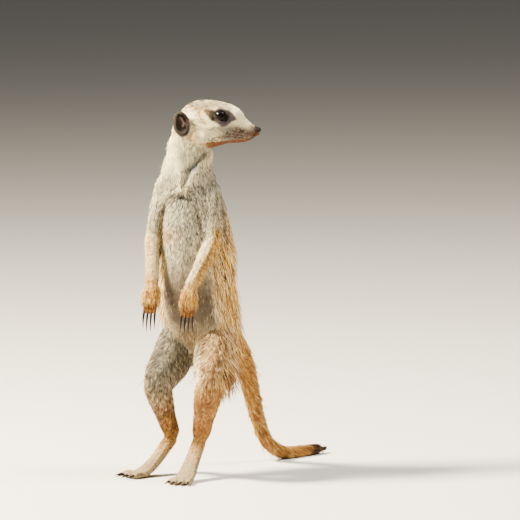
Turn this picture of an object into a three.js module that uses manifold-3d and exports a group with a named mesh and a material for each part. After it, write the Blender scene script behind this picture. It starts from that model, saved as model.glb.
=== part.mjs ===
// A still, life-size model of a meerkat (Suricata suricatta) standing upright on watch.
// Millimetres, +Z up. +X is the way that the head looks, -Y the side that the chest is turned to.
// The origin is on the ground under the middle of the animal.
// The soft pieces are outer shapes: they reach to the tips of the coat.

import * as THREE from "three";
import { mergeVertices } from "three/addons/utils/BufferGeometryUtils.js";
import Module from "manifold-3d";

const wasm = await Module();
wasm.setup();

// ---------------------------------------------------------------- driving sizes
const GAP = 0.3; // between neighbouring pieces
const WORLD = 1000; // larger than the animal, for the tools that cut it
const SIDES = { left: 1, right: -1 };

// Bone lengths.
const BONE = {
  humerus: 45,
  forearm: 45,
  palm: 17,
  finger: 9,
  foreclaw: 14.5,
  femur: 54,
  tibia: 60,
  instep: 34,
  toes: 24,
  hindclaw: 6.5,
};

// The pose. An angle pair is a heading, in degrees from -Y towards -X, and a drop below the horizontal.
const POSE = {
  left: {
    shoulder: [7, -13, 234],
    humerus: [-15, 63],
    forearm: [50, 55],
    palm: [24, 76],
    hip: [15, -6, 114],
    femur: [10, 40],
    tibia: [167, 54],
    instep: [24, 45],
    toes: [20, 6],
  },
  right: {
    shoulder: [-24, 1, 239],
    humerus: [50, 68],
    forearm: [2, 61],
    palm: [24, 76],
    hip: [-12, 8, 114],
    femur: [38, 43],
    tibia: [202, 52],
    instep: [52, 45],
    toes: [55, 6],
  },
};

// ---------------------------------------------------------------- directions and places
const radians = THREE.MathUtils.degToRad;
const UP = new THREE.Vector3(0, 0, 1);

function heading(turn, drop = 0) {
  const [t, d] = [radians(turn), radians(drop)];
  return new THREE.Vector3(-Math.sin(t) * Math.cos(d), -Math.cos(t) * Math.cos(d), -Math.sin(d));
}

// The joints along a limb, from its first joint and the bones that follow it.
function chain(start, pose, ...bones) {
  const joints = [new THREE.Vector3(...start)];
  for (const bone of bones) {
    joints.push(joints.at(-1).clone().addScaledVector(heading(...pose[bone]), BONE[bone]));
  }
  return joints;
}

// ---------------------------------------------------------------- solids
// three.js meshes and manifold-3d solids, one made from the other.
function solidOf(geometry) {
  const bare = new THREE.BufferGeometry();
  bare.setAttribute("position", geometry.getAttribute("position"));
  bare.setIndex(geometry.index);
  const merged = mergeVertices(bare, 1e-4);
  const triVerts = new Uint32Array(merged.index.array);
  const vertProperties = new Float32Array(merged.attributes.position.array);
  return new wasm.Manifold(new wasm.Mesh({ numProp: 3, vertProperties, triVerts }));
}

function geometryOf(solid) {
  const mesh = solid.getMesh();
  const geometry = new THREE.BufferGeometry();
  geometry.setAttribute("position", new THREE.BufferAttribute(mesh.vertProperties, 3));
  geometry.setIndex(new THREE.BufferAttribute(mesh.triVerts, 1));
  geometry.computeVertexNormals();
  return geometry;
}

const join = (...solids) => solids.reduce((whole, piece) => whole.add(piece));
const cut = (solid, ...others) => others.reduce((rest, other) => rest.subtract(other), solid);

// What a cut leaves of a piece, without the chips that it throws off.
function mainBody(solid) {
  return solid.decompose().sort((a, b) => b.volume() - a.volume())[0];
}

// One station of a loft: a place, the way that its front looks, and its reach to the side, front and back.
function ring(at, front, side, toFront, toBack = toFront) {
  return { at: at.isVector3 ? at : new THREE.Vector3(...at), front, size: [side, toFront, toBack] };
}

// A closed body that is drawn out of a unit sphere along a smooth line through its stations. The ends
// are round over a share of the length, and grow swells the whole body.
function loft(stations, { around = 10, rings = 8, cap = 0.2, grow = 0 } = {}) {
  const through = (points) => new THREE.CatmullRomCurve3(points);
  const line = through(stations.map((s) => s.at));
  const fronts = through(stations.map((s) => s.front));
  const sizes = through(stations.map((s) => new THREE.Vector3(...s.size)));
  const geometry = new THREE.SphereGeometry(1, around, rings);
  const sphere = geometry.getAttribute("position");
  const corner = new THREE.Vector3();
  for (let i = 0; i < sphere.count; i++) {
    corner.fromBufferAttribute(sphere, i);
    const t = Math.acos(THREE.MathUtils.clamp(-corner.y, -1, 1)) / Math.PI;
    const inCap = Math.max(0, 1 - Math.min(t, 1 - t) / cap);
    const round = Math.sqrt(1 - inCap ** 2);
    const along = line.getTangent(t);
    const side = new THREE.Vector3().crossVectors(along, fronts.getPoint(t)).normalize();
    const front = new THREE.Vector3().crossVectors(side, along);
    const size = sizes.getPoint(t).addScalar(grow);
    const spread = Math.hypot(corner.x, corner.z) || 1;
    const across = (corner.x / spread) * size.x;
    const forward = (corner.z / spread) * (corner.z > 0 ? size.y : size.z);
    const atPole = Math.abs(corner.y) > 0.999999;
    const place = line.getPoint(t).addScaledVector(along, grow * inCap * Math.sign(t - 0.5));
    if (!atPole) place.addScaledVector(side, across * round).addScaledVector(front, forward * round);
    sphere.setXYZ(i, ...place);
  }
  return solidOf(geometry);
}

// A ball drawn out to three radii, turned about +Z and then put in its place.
function egg(at, radii, { turn = 0, tilt = 0, grow = 0, around = 10, rings = 6 } = {}) {
  const geometry = new THREE.SphereGeometry(1, around, rings).rotateX(Math.PI / 2);
  geometry.scale(...radii.map((r) => r + grow));
  geometry.rotateX(radians(tilt)).rotateZ(radians(turn));
  return solidOf(geometry.translate(...at));
}

function box(low, high) {
  const size = high.map((h, i) => h - low[i]);
  const middle = high.map((h, i) => (h + low[i]) / 2);
  return solidOf(new THREE.BoxGeometry(...size).translate(...middle));
}

// ---------------------------------------------------------------- the pieces
const model = new THREE.Group();
const COAT = { color: 0xb99a6c, roughness: 0.9, metalness: 0 };
const PALE_COAT = { color: 0xcfc6b4, roughness: 0.9, metalness: 0 };
const DARK_COAT = { color: 0x3a2f28, roughness: 0.9, metalness: 0 };
const CLAW = { color: 0x2a201c, roughness: 0.4, metalness: 0 };
const NOSE = { color: 0x3b2620, roughness: 0.5, metalness: 0 };
const EYE = { color: 0x15100e, roughness: 0.08, metalness: 0 };

function add(name, solid, finish) {
  const mesh = new THREE.Mesh(geometryOf(mainBody(solid)), new THREE.MeshStandardMaterial(finish));
  mesh.name = name;
  model.add(mesh);
}

// ---------------------------------------------------------------- trunk
// It turns as it rises: the hips face well to one side and the shoulders almost straight at -Y.
const TRUNK = [
  ring([13, 7, 86], heading(36), 15, 14, 15),
  ring([10, 5, 100], heading(36), 22, 20, 24),
  ring([6, 3, 115], heading(34), 26, 26, 28),
  ring([2, 0, 130], heading(31), 28.5, 30.5, 30),
  ring([-0.5, -2, 145], heading(29), 29, 33, 31),
  ring([-2, -4, 162], heading(26), 28.6, 32.5, 30),
  ring([-1.6, -5, 179], heading(23), 28.6, 31, 29.5),
  ring([-2.8, -6, 196], heading(19), 28.4, 29, 29),
  ring([-4.2, -7, 211], heading(14), 26.5, 26.5, 27),
  ring([-7.5, -7, 224], heading(9), 25, 23, 24),
  ring([-9.5, -8, 237], heading(5), 22.5, 19.5, 20.5),
  ring([-9.5, -8, 247], heading(2), 19, 17, 18),
];
const TRUNK_SHAPE = { around: 20, rings: 16, cap: 0.12 };
const trunkGrown = loft(TRUNK, { ...TRUNK_SHAPE, grow: GAP });
const WAIST = 128; // between the hips and the belly
const RIBS = 178; // between the belly and the chest

function addTrunk() {
  const trunk = loft(TRUNK, TRUNK_SHAPE);
  const slice = (low, high) => box([-WORLD, -WORLD, low], [WORLD, WORLD, high]);
  add("trunk_hips", trunk.intersect(slice(-WORLD, WAIST)), COAT);
  add("trunk_belly", trunk.intersect(slice(WAIST + GAP, RIBS)), PALE_COAT);
  add("trunk_chest", trunk.intersect(slice(RIBS + GAP, WORLD)), PALE_COAT);
}
addTrunk();

// ---------------------------------------------------------------- neck
const NECK = [
  ring([-9.5, -8, 228], heading(5), 24, 19, 20),
  ring([-9.7, -8, 238], heading(3), 23.4, 19, 20.5),
  ring([-9.6, -8, 246], heading(0), 21.4, 18, 20),
  ring([-8.8, -8, 255], heading(0), 18.8, 16.5, 19),
  ring([-8.4, -8, 264], heading(0), 17.6, 16, 18),
  ring([-7.6, -8, 274], heading(0), 16, 15, 16),
  ring([-7, -8, 282], heading(0), 13, 13, 13),
];
const NECK_SHAPE = { around: 16, rings: 7, cap: 0.12 };
const neckGrown = loft(NECK, { ...NECK_SHAPE, grow: GAP });

// ---------------------------------------------------------------- head
// The head has its own frame: +X to the nose, +Y to its left, +Z up, origin in the middle of the skull.
const HEAD_AT = [0, -8, 283.4];
const HEAD_TURN = -10;
const onHead = (solid) => solid.rotate([0, 0, HEAD_TURN]).translate(HEAD_AT);

// One upright section of the skull: how far along the nose, its underside, its top and its half width.
function skull(x, low, high, side) {
  const middle = low * 0.55 + high * 0.45;
  return ring([x, 0, middle], UP, side, high - middle, middle - low);
}
const SKULL = [
  skull(-21.5, -5, 9, 9),
  skull(-17, -13, 13.5, 15),
  skull(-9.5, -17, 17, 18),
  skull(0, -18.5, 20.5, 19),
  skull(9, -18, 21, 18.5),
  skull(17, -16, 19.4, 17),
  skull(23.5, -15.2, 17, 14.2),
  skull(28.5, -14.8, 12.8, 11.2),
  skull(33, -14, 8.2, 9),
  skull(38, -12.6, 4.6, 7.4),
  skull(43, -10.6, 1.8, 6),
  skull(47.6, -8.4, -2.2, 4.2),
];
const SKULL_SHAPE = { around: 16, rings: 15, cap: 0.1 };
const EYE_SPOT = { x: 18.6, side: 11.4, z: 8.4, radius: 5.2 };
const EAR_SPOT = { x: -11.6, side: 18.2, z: 1.4 };
const MOUTH = { line: -5.5, hinge: 4, slope: 4.3 };

function eyeball(way, grow = 0) {
  const { x, side, z, radius } = EYE_SPOT;
  return egg([x, way * side, z], [radius, radius, radius], { grow, around: 12, rings: 8 });
}

function cheek(way, grow = 0) {
  return egg([2, way * 12.5, -7], [13, 7.5, 8.5], { turn: way * -8, grow });
}

function headWhole() {
  let whole = loft(SKULL, SKULL_SHAPE);
  for (const way of Object.values(SIDES)) {
    whole = join(
      whole,
      egg([19, way * 9, 12], [8, 4.8, 4.2], { turn: way * -14 }), // brow
      cheek(way),
      egg([36, way * 4.2, -6.4], [8, 4.2, 4.4], { turn: way * -10 }), // whisker pad
    );
  }
  return whole;
}

// The nose pad, with a nostril on each side.
function nosePad(grow = 0) {
  const pad = egg([45.6, 0, -4.2], [3.6, 4.1, 3.5], { grow });
  const hole = { around: 6, rings: 5 };
  const nostrils = Object.values(SIDES).map((way) => egg([48.4, way * 2.6, -4.6], [1.5, 1.1, 1], hole));
  return grow ? pad : cut(pad, ...nostrils);
}

// The space of the lower jaw, under the line of the mouth and in front of the hinge.
function jawSpace(grow = 0) {
  const space = box([MOUTH.hinge - grow, -WORLD, -WORLD], [WORLD, WORLD, grow]);
  return space.rotate([0, MOUTH.slope, 0]).translate([0, 0, MOUTH.line]);
}

// A shallow cup that stands off the side of the head and opens outwards and a little forwards.
function ear(way) {
  const { x, side, z } = EAR_SPOT;
  const place = { turn: way * 20, tilt: way * -6 };
  const shell = egg([x, way * side, z], [7.8, 4.2, 11], { ...place, around: 12, rings: 8 });
  const hollow = egg([x + 1.5, way * (side + 3.9), z + 0.4], [5.9, 4.2, 8.6], { ...place, around: 8 });
  const foldShape = { ...place, around: 5, rings: 4 };
  const fold = egg([x + 4.2, way * (side + 0.8), z - 1.6], [1.5, 1.8, 3.8], foldShape);
  return join(cut(shell, hollow), fold);
}

function addHead() {
  const { left, right } = SIDES;
  const nose = nosePad(GAP);
  const sockets = [eyeball(left, GAP), eyeball(right, GAP)];
  const whole = headWhole();
  const skin = cut(whole, nose, ...sockets);
  const neckTop = loft(NECK, NECK_SHAPE);
  const head = onHead(cut(skin, jawSpace(GAP)));
  const headSolid = mainBody(head);
  add("head", headSolid, PALE_COAT);
  add("jaw", onHead(skin.intersect(jawSpace())), PALE_COAT);
  add("nose", onHead(nosePad()), NOSE);
  const bare = join(loft(SKULL, { ...SKULL_SHAPE, grow: GAP }), cheek(left, GAP), cheek(right, GAP));
  const grown = onHead(bare);
  for (const [name, way] of Object.entries(SIDES)) {
    add(`eye_${name}`, onHead(eyeball(way)), EYE);
    add(`ear_${name}`, cut(onHead(ear(way)), grown, neckGrown), DARK_COAT);
  }
  add("neck", cut(neckTop, grown, trunkGrown), PALE_COAT);
}
addHead();

// ---------------------------------------------------------------- digits
// A finger or a toe, and the claw that grows from its end. It leaves the paw at a root and bends
// downwards on the way to its tip.
function digit(root, tip, thick) {
  const front = UP.clone().addScaledVector(heading(0), 0.3);
  const knuckle = root.clone().lerp(tip, 0.55).addScaledVector(UP, thick * 0.25);
  const stations = [
    ring(root, front, thick * 0.9, thick * 0.9),
    ring(knuckle, front, thick, thick),
    ring(tip, front, thick * 0.8, thick * 0.75),
  ];
  return loft(stations, { around: 6, rings: 4, cap: 0.3 });
}

function claw(root, direction, droop, length, thick) {
  const at = (share) =>
    root.clone().addScaledVector(direction, length * share).addScaledVector(droop, length * share ** 2);
  const front = direction.clone().cross(droop).normalize();
  const stations = [0, 0.35, 0.7, 1].map((share) =>
    ring(at(share), front, thick * (1.15 - 0.75 * share), thick * (1 - 0.7 * share)),
  );
  return loft(stations, { around: 5, rings: 4, cap: 0.12 });
}

// ---------------------------------------------------------------- arms
// The hand hangs from the wrist, and its four fingers fan out a little.
const FINGERS = [-1.5, -0.5, 0.5, 1.5];
const FINGER_THICK = 1.4;

function armShapes(pose) {
  const [shoulder, elbow, wrist, knuckles] = chain(pose.shoulder, pose, "humerus", "forearm", "palm");
  const front = heading(pose.palm[0]);
  const middle = (a, b, share) => a.clone().lerp(b, share);
  const upper = [
    ring(middle(shoulder, elbow, -0.12), front, 9.5, 9),
    ring(middle(shoulder, elbow, 0.2), front, 10.5, 10),
    ring(middle(shoulder, elbow, 0.6), front, 9, 9),
    ring(middle(shoulder, elbow, 1.16), front, 6.6, 6.8),
  ];
  const fore = [
    ring(middle(elbow, wrist, -0.12), front, 6.6, 6.6),
    ring(middle(elbow, wrist, 0.22), front, 6.8, 6.8),
    ring(middle(elbow, wrist, 0.7), front, 5.8, 5.6),
    ring(middle(elbow, wrist, 1.12), front, 6, 5),
  ];
  const hand = [
    ring(middle(wrist, knuckles, -0.2), front, 5, 4.6),
    ring(middle(wrist, knuckles, 0.4), front, 7, 5),
    ring(middle(wrist, knuckles, 0.8), front, 7.2, 4.6),
    ring(middle(wrist, knuckles, 1.08), front, 6, 3.2),
  ];
  return { upper, fore, hand, wrist, knuckles, front };
}

function addArm(name, pose) {
  const { upper, fore, hand, wrist, knuckles, front } = armShapes(pose);
  add(`arm_upper_${name}`, cut(loft(upper), trunkGrown, neckGrown), PALE_COAT);
  add(`arm_fore_${name}`, cut(loft(fore), loft(upper, { grow: GAP }), trunkGrown), COAT);

  const down = knuckles.clone().sub(wrist).normalize();
  const across = down.clone().cross(front).normalize();
  const spread = (share) => down.clone().addScaledVector(across, share * 0.02).normalize();
  const fingers = FINGERS.map((share) => {
    const root = knuckles.clone().addScaledVector(across, share * 3).addScaledVector(down, -3);
    const reach = 3 + BONE.finger - Math.abs(share);
    return { share, root, tip: root.clone().addScaledVector(spread(share), reach) };
  });
  const paw = join(loft(hand), ...fingers.map((f) => digit(f.root, f.tip, FINGER_THICK)));
  add(`hand_${name}`, cut(paw, loft(fore, { grow: GAP }), trunkGrown), COAT);
  fingers.forEach(({ share, tip }, i) => {
    const root = tip.clone().addScaledVector(spread(share), -1);
    const droop = front.clone().multiplyScalar(-0.16);
    const length = BONE.foreclaw - Math.abs(share) * 1.6;
    const grownPaw = digit(fingers[i].root, tip, FINGER_THICK + GAP);
    add(`foreclaw_${name}_${i + 1}`, cut(claw(root, spread(share), droop, length, 1.25), grownPaw), CLAW);
  });
}

// ---------------------------------------------------------------- legs
function legShapes(pose) {
  const [hip, knee, hock, ball, toe] = chain(pose.hip, pose, "femur", "tibia", "instep", "toes");
  const front = heading(pose.femur[0]);
  const middle = (a, b, share) => a.clone().lerp(b, share);
  const thigh = [
    ring(middle(hip, knee, -0.2), front, 15, 17),
    ring(middle(hip, knee, 0.2), front, 16.5, 19, 20),
    ring(middle(hip, knee, 0.62), front, 15, 14.5, 20),
    ring(middle(hip, knee, 1.2), front, 11, 9.5, 10.5),
  ];
  const shin = [
    ring(middle(knee, hock, -0.1), front, 11, 9),
    ring(middle(knee, hock, 0.25), front, 11.4, 9, 12),
    ring(middle(knee, hock, 0.62), front, 8.6, 6.8, 8.2),
    ring(middle(knee, hock, 1.1), front, 7, 6.2, 7.6),
  ];
  return { thigh, shin, hip, knee, hock, ball, toe };
}

function addLeg(name, pose) {
  const { thigh, shin, hock, ball, toe } = legShapes(pose);
  const thighShape = { around: 14, rings: 9, cap: 0.25 };
  add(`leg_thigh_${name}`, cut(loft(thigh, thighShape), trunkGrown), COAT);
  add(`leg_shin_${name}`, cut(loft(shin), loft(thigh, { ...thighShape, grow: GAP })), COAT);

  const middle = (a, b, share) => a.clone().lerp(b, share);
  const sole = (place, z) => new THREE.Vector3(place.x, place.y, z);
  const ahead = toe.clone().sub(ball).setZ(0).normalize();
  const across = ahead.clone().cross(UP);
  const foot = [
    ring(middle(hock, ball, -0.16), UP, 6, 6),
    ring(middle(hock, ball, 0.3), UP, 6.2, 5.2),
    ring(middle(hock, ball, 0.8), UP, 7.2, 4.6),
    ring(sole(middle(ball, toe, 0.3), 3.4), UP, 8.6, 3.8, 4.6),
    ring(sole(middle(ball, toe, 0.7), 2.4), UP, 7.8, 2.8, 3.4),
  ];
  const toes = FINGERS.map((share) => {
    const root = sole(middle(ball, toe, 0.35), 3).addScaledVector(across, share * 4);
    const reach = BONE.toes * 0.68 - Math.abs(share) * 2;
    const way = ahead.clone().addScaledVector(across, share * 0.12).normalize();
    return { way, root, tip: root.clone().addScaledVector(way, reach).setZ(1.8) };
  });
  const floor = box([-WORLD, -WORLD, -WORLD], [WORLD, WORLD, 0]);
  const paw = cut(join(loft(foot), ...toes.map((t) => digit(t.root, t.tip, 2.9))), floor);
  add(`foot_${name}`, cut(paw, loft(shin, { grow: GAP })), PALE_COAT);
  toes.forEach(({ way, root, tip }, i) => {
    const start = tip.clone().addScaledVector(way, -0.6).setZ(2.8);
    const droop = UP.clone().multiplyScalar(-0.22);
    const grownToe = digit(root, tip, 2.9 + GAP);
    const nail = cut(claw(start, way, droop, BONE.hindclaw, 1.1), grownToe, floor);
    add(`hindclaw_${name}_${i + 1}`, nail, CLAW);
  });
}

for (const name of Object.keys(SIDES)) {
  addArm(name, POSE[name]);
  addLeg(name, POSE[name]);
}

// ---------------------------------------------------------------- tail
// It props the animal up: it drops from the rump to the ground behind and lies along it.
const tailRing = (at, half) => ring(at, heading(125), half, half);
const TAIL = [
  tailRing([16, 14, 116], 12),
  tailRing([24, 24, 107], 11),
  tailRing([31, 33, 94], 10),
  tailRing([37, 42, 78], 8.6),
  tailRing([41, 51, 60], 7.2),
  tailRing([46, 62, 38], 6.4),
  tailRing([54, 75, 16], 5.8),
  tailRing([68, 91, 5.4], 5.6),
  tailRing([86, 108, 4.8], 5.2),
  tailRing([104, 128, 4], 4.4),
];

function addTail() {
  const floor = box([-WORLD, -WORLD, -WORLD], [WORLD, WORLD, 0]);
  const tail = cut(loft(TAIL, { rings: 18, cap: 0.06 }), trunkGrown, floor);
  const slice = (low, high) => box([low, -WORLD, -WORLD], [high, WORLD, WORLD]);
  add("tail_root", tail.intersect(slice(-WORLD, 43)), COAT);
  add("tail_middle", tail.intersect(slice(43 + GAP, 78)), COAT);
  add("tail_tip", tail.intersect(slice(78 + GAP, WORLD)), DARK_COAT);
}
addTail();

// ---------------------------------------------------------------- frame
// The whole animal is moved so that the origin is on the ground under its middle.
const bounds = new THREE.Box3().setFromObject(model);
const centre = bounds.getCenter(new THREE.Vector3());
for (const piece of model.children) piece.position.set(-centre.x, -centre.y, -bounds.min.z);

export default model;
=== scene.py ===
import math

import bmesh
import bpy
import numpy as np
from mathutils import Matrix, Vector, noise
from mathutils.bvhtree import BVHTree
from mathutils.kdtree import KDTree


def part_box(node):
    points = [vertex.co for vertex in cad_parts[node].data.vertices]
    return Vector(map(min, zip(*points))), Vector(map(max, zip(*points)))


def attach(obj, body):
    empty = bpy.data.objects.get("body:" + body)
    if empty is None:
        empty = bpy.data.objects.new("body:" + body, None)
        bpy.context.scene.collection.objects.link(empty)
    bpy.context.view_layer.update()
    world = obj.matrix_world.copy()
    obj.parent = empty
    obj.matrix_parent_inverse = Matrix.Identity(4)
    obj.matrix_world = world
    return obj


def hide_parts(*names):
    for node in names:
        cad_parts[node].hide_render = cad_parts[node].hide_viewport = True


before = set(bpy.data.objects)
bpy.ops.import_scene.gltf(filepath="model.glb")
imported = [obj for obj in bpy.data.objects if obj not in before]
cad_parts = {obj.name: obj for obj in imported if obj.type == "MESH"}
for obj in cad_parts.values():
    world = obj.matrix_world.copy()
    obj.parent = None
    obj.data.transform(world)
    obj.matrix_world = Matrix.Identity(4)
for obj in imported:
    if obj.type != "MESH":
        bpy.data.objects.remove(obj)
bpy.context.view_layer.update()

MM = 0.001


# ---------------------------------------------------------------- camera, light and floor
# A long lens low over the ground, level with the animal's legs, and a pale studio: a wide soft
# lamp over its right shoulder, a fainter one on the other side and a bright even surround.
SENSOR = 36.0
VIEW_HEIGHT = 416 * MM  # what the frame takes in at the animal
VIEW_DISTANCE = 3.7
VIEW_ELEVATION = 6.0
LOOK_AT = Vector((30.6, -40.4, 175.4)) * MM


def add(name, data):
    """A new object in the scene that holds this data."""
    thing = bpy.data.objects.new(name, data)
    bpy.context.scene.collection.objects.link(thing)
    return thing


def as_object(name, made):
    data = bpy.data.meshes.new(name)
    made.to_mesh(data)
    made.free()
    return add(name, data)


def way_to(azimuth, elevation):
    """The way from the animal to a place around it, in degrees round and up."""
    turn, rise = math.radians(azimuth), math.radians(elevation)
    return Vector((math.sin(turn) * math.cos(rise), -math.cos(turn) * math.cos(rise), math.sin(rise)))


camera_data = bpy.data.cameras.new("camera")
camera_data.sensor_width = SENSOR
camera_data.lens = SENSOR * VIEW_DISTANCE / VIEW_HEIGHT
camera_data.clip_end = 50.0
camera = add("camera", camera_data)
camera.location = LOOK_AT + VIEW_DISTANCE * way_to(0, VIEW_ELEVATION)
camera.rotation_euler = (math.radians(90 - VIEW_ELEVATION), 0, 0)
bpy.context.scene.camera = camera

LAMPS = (  # degrees round and up, distance, width, watts and colour
    ("key_lamp", -79, 45, 1.6, 0.35, 265, (1.0, 0.9, 0.67)),
    ("fill_lamp", 60, 12, 2.0, 1.2, 6, (1.0, 0.92, 0.84)),
    ("top_lamp", 78, 60, 1.8, 0.6, 66, (1.0, 0.94, 0.86)),
)
for name, azimuth, elevation, distance, size, watts, colour in LAMPS:
    lamp = bpy.data.lights.new(name, "AREA")
    lamp.size, lamp.energy, lamp.color = size, watts, colour
    holder = add(name, lamp)
    holder.location = LOOK_AT + distance * way_to(azimuth, elevation)
    holder.rotation_euler = way_to(azimuth, elevation).to_track_quat("Z", "Y").to_euler()

world = bpy.data.worlds.new("studio")
world.use_nodes = True
surround = world.node_tree.nodes["Background"].inputs
surround["Color"].default_value = (0.86, 0.86, 0.85, 1)
surround["Strength"].default_value = 0.13
bpy.context.scene.world = world

floor_mesh = bmesh.new()
bmesh.ops.create_grid(floor_mesh, x_segments=2, y_segments=2, size=20.0)
floor = as_object("floor", floor_mesh)
floor_material = bpy.data.materials.new("pale floor")
floor_material.use_nodes = True
floor_surface = floor_material.node_tree.nodes["Principled BSDF"].inputs
floor_surface["Base Color"].default_value = (0.66, 0.64, 0.6, 1)
floor_surface["Roughness"].default_value = 0.9
floor.data.materials.append(floor_material)


# ---------------------------------------------------------------- skin
# One skin over the whole body, from the lips to the soles. It lies inside the solids by the depth
# of the coat, and its folds, lids and lips are moved into it point by point.
HEAD_NODES = ("head", "jaw", "ear_left", "ear_right")
TRUNK_NODES = ("neck", "trunk_chest", "trunk_belly", "trunk_hips")
ARM_PARTS = ("arm_upper", "arm_fore", "hand")
LEG_PARTS = ("leg_thigh", "leg_shin", "foot")
TAIL_NODES = ("tail_root", "tail_middle", "tail_tip")
SIDES = ("left", "right")
LIMB_NODES = tuple(f"{part}_{side}" for side in SIDES for part in ARM_PARTS + LEG_PARTS)
FLESH = HEAD_NODES + TRUNK_NODES + LIMB_NODES + TAIL_NODES
OVERLAP = 0.25 * MM  # the nodes are swollen by this much to close the gaps between them
VOXEL = 0.75 * MM
BODY_TRIANGLES = 62000  # what the trunk, limbs and tail are thinned out to

# For each part: how much it is smoothed, how far its joints are filled, how deep and how long its
# coat is in millimetres, and how tan, bare, grey and ticked.
TRAITS = ("smoothed", "filled", "depth", "length", "tan", "bare", "grey", "ticks")
PARTS = {
    "head": (1.0, 0.1, 1.0, 2.8, 0.08, 0.0, 0.0, 0.5),
    "jaw": (0.8, 0.0, 0.6, 2.2, 0.15, 0.0, 0.0, 0.0),
    "ear": (0.35, 0.0, 0.2, 1.5, 0.3, 0.0, 0.0, 0.0),
    "neck": (1.0, 0.9, 1.7, 4.2, 0.04, 0.0, 0.26, 0.35),
    "trunk_chest": (1.0, 0.9, 1.7, 4.4, 0.08, 0.0, 0.66, 0.9),
    "trunk_belly": (1.0, 0.9, 1.1, 3.2, 0.16, 0.6, 0.4, 0.05),
    "trunk_hips": (1.0, 0.9, 1.6, 4.2, 0.45, 0.85, 0.0, 0.1),
    "arm_upper": (1.0, 0.1, 1.4, 4.2, 0.06, 0.0, 0.54, 1.0),
    "arm_fore": (1.0, 0.0, 1.0, 3.6, 0.18, 0.0, 0.1, 0.2),
    "hand": (0.3, 0.0, 0.45, 4.2, 1.0, 0.0, 0.0, 0.5),
    "leg_thigh": (1.0, 0.9, 1.8, 5.0, 0.5, 0.1, 0.15, 0.7),
    "leg_shin": (1.0, 0.9, 1.2, 4.2, 0.5, 0.1, 0.0, 0.3),
    "foot": (0.5, 0.0, 0.45, 2.0, 0.5, 0.0, 0.3, 0.0),
    "tail_root": (1.0, 0.9, 1.9, 8.0, 1.0, 0.0, 0.0, 0.2),
    "tail_middle": (1.0, 0.9, 1.6, 8.0, 1.0, 0.0, 0.0, 0.2),
    "tail_tip": (0.6, 0.0, 1.5, 8.0, 1.0, 0.0, 0.0, 0.4),
}
# Every flesh node's values, both sides' nodes with those of their part.
OF_NODE = dict(zip(TRAITS, np.array([PARTS.get(n) or PARTS[n.rsplit("_", 1)[0]] for n in FLESH]).T))


def merged_copy(node, swell=0.0):
    """A bmesh of a CAD node with its loose triangles joined up, swollen a little."""
    made = bmesh.new()
    made.from_mesh(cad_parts[node].data)
    bmesh.ops.remove_doubles(made, verts=made.verts, dist=0.02 * MM)
    made.normal_update()
    for vert in made.verts:
        vert.co += vert.normal * swell
    return made


def with_modifiers(thing):
    """The object with its modifiers applied."""
    finished = bpy.data.meshes.new_from_object(thing.evaluated_get(bpy.context.evaluated_depsgraph_get()))
    old = thing.data
    thing.modifiers.clear()
    thing.data = finished
    bpy.data.meshes.remove(old)
    return thing


flesh = bmesh.new()
scratch = bpy.data.meshes.new("scratch")
# The eyes are in it too, so that the skin closes over them and the lids can be opened.
for node in FLESH + ("eye_left", "eye_right", "nose"):
    piece = merged_copy(node, OVERLAP)
    piece.to_mesh(scratch)
    piece.free()
    flesh.from_mesh(scratch)
bpy.data.meshes.remove(scratch)
skin = as_object("skin", flesh)
remesh = skin.modifiers.new("one surface", "REMESH")
remesh.mode = "VOXEL"
remesh.voxel_size = VOXEL
with_modifiers(skin)


def unit(rows):
    return rows / np.maximum(np.linalg.norm(rows, axis=-1, keepdims=True), 1e-12)


def middle(node):
    low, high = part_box(node)
    return np.array((low + high) / 2)


# The body's landmarks, all from the solids. The head's frame has its middle in the skull.
eye_middle = (middle("eye_left") + middle("eye_right")) / 2
eye_to_eye = middle("eye_left") - middle("eye_right")
EYE_OUT = float(np.linalg.norm(eye_to_eye)) / 2 / MM
EYE_RADIUS = float((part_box("eye_left")[1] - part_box("eye_left")[0]).z / 2) / MM
EYE_AHEAD, EYE_ABOVE = 18.6, 8.4  # of the middle of the skull, in millimetres
HEAD_LEFT = unit(eye_to_eye)
HEAD_UP = np.array((0.0, 0.0, 1.0))
HEAD_FRONT = np.cross(HEAD_LEFT, HEAD_UP)
HEAD_AXES = np.stack((HEAD_FRONT, HEAD_LEFT, HEAD_UP), axis=1)
HEAD_AT = eye_middle - (HEAD_FRONT * EYE_AHEAD + HEAD_UP * EYE_ABOVE) * MM
EYE_AT = np.array((EYE_AHEAD, EYE_OUT, EYE_ABOVE))
CHEST = middle("trunk_chest") / MM


def on_head(points):
    """Points in the head's own frame, in millimetres: ahead, to its left and up."""
    return (points - HEAD_AT) @ HEAD_AXES / MM


def on_half_head(points):
    """Points in the head's own frame, with both sides brought to its left."""
    found = on_head(points)
    found[:, 1] = np.abs(found[:, 1])
    return found


def on_front(points):
    """Points as seen from the front, in millimetres from the middle of the chest."""
    return points[:, [0, 2]] / MM - CHEST[[0, 2]]


def smooth_step(low, high, value):
    t = np.clip((value - low) / (high - low), 0.0, 1.0)
    return t * t * (3 - 2 * t)


def bump(value, width):
    return np.exp(-((value / width) ** 2))


def by_spot(places, spot, width, stretch=1.0):
    """1 at a spot, and less and less over this width around it."""
    return bump(np.linalg.norm((places - spot) * stretch, axis=1), width)


def line_distance(flat, path):
    """How far points in a plane are from a bent line through the path's points."""
    nearest = np.full(len(flat), 1e9)
    for a, b in zip(path[:-1], path[1:]):
        a, b = np.array(a, dtype=float), np.array(b, dtype=float)
        t = np.clip(((flat - a) @ (b - a)) / ((b - a) @ (b - a)), 0.0, 1.0)
        nearest = np.minimum(nearest, np.linalg.norm(flat - a - t[:, None] * (b - a), axis=1))
    return nearest


def by_line(flat, path, width):
    """1 on a bent line in a plane, and less and less over this width beside it."""
    return bump(line_distance(flat, path), width)


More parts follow.
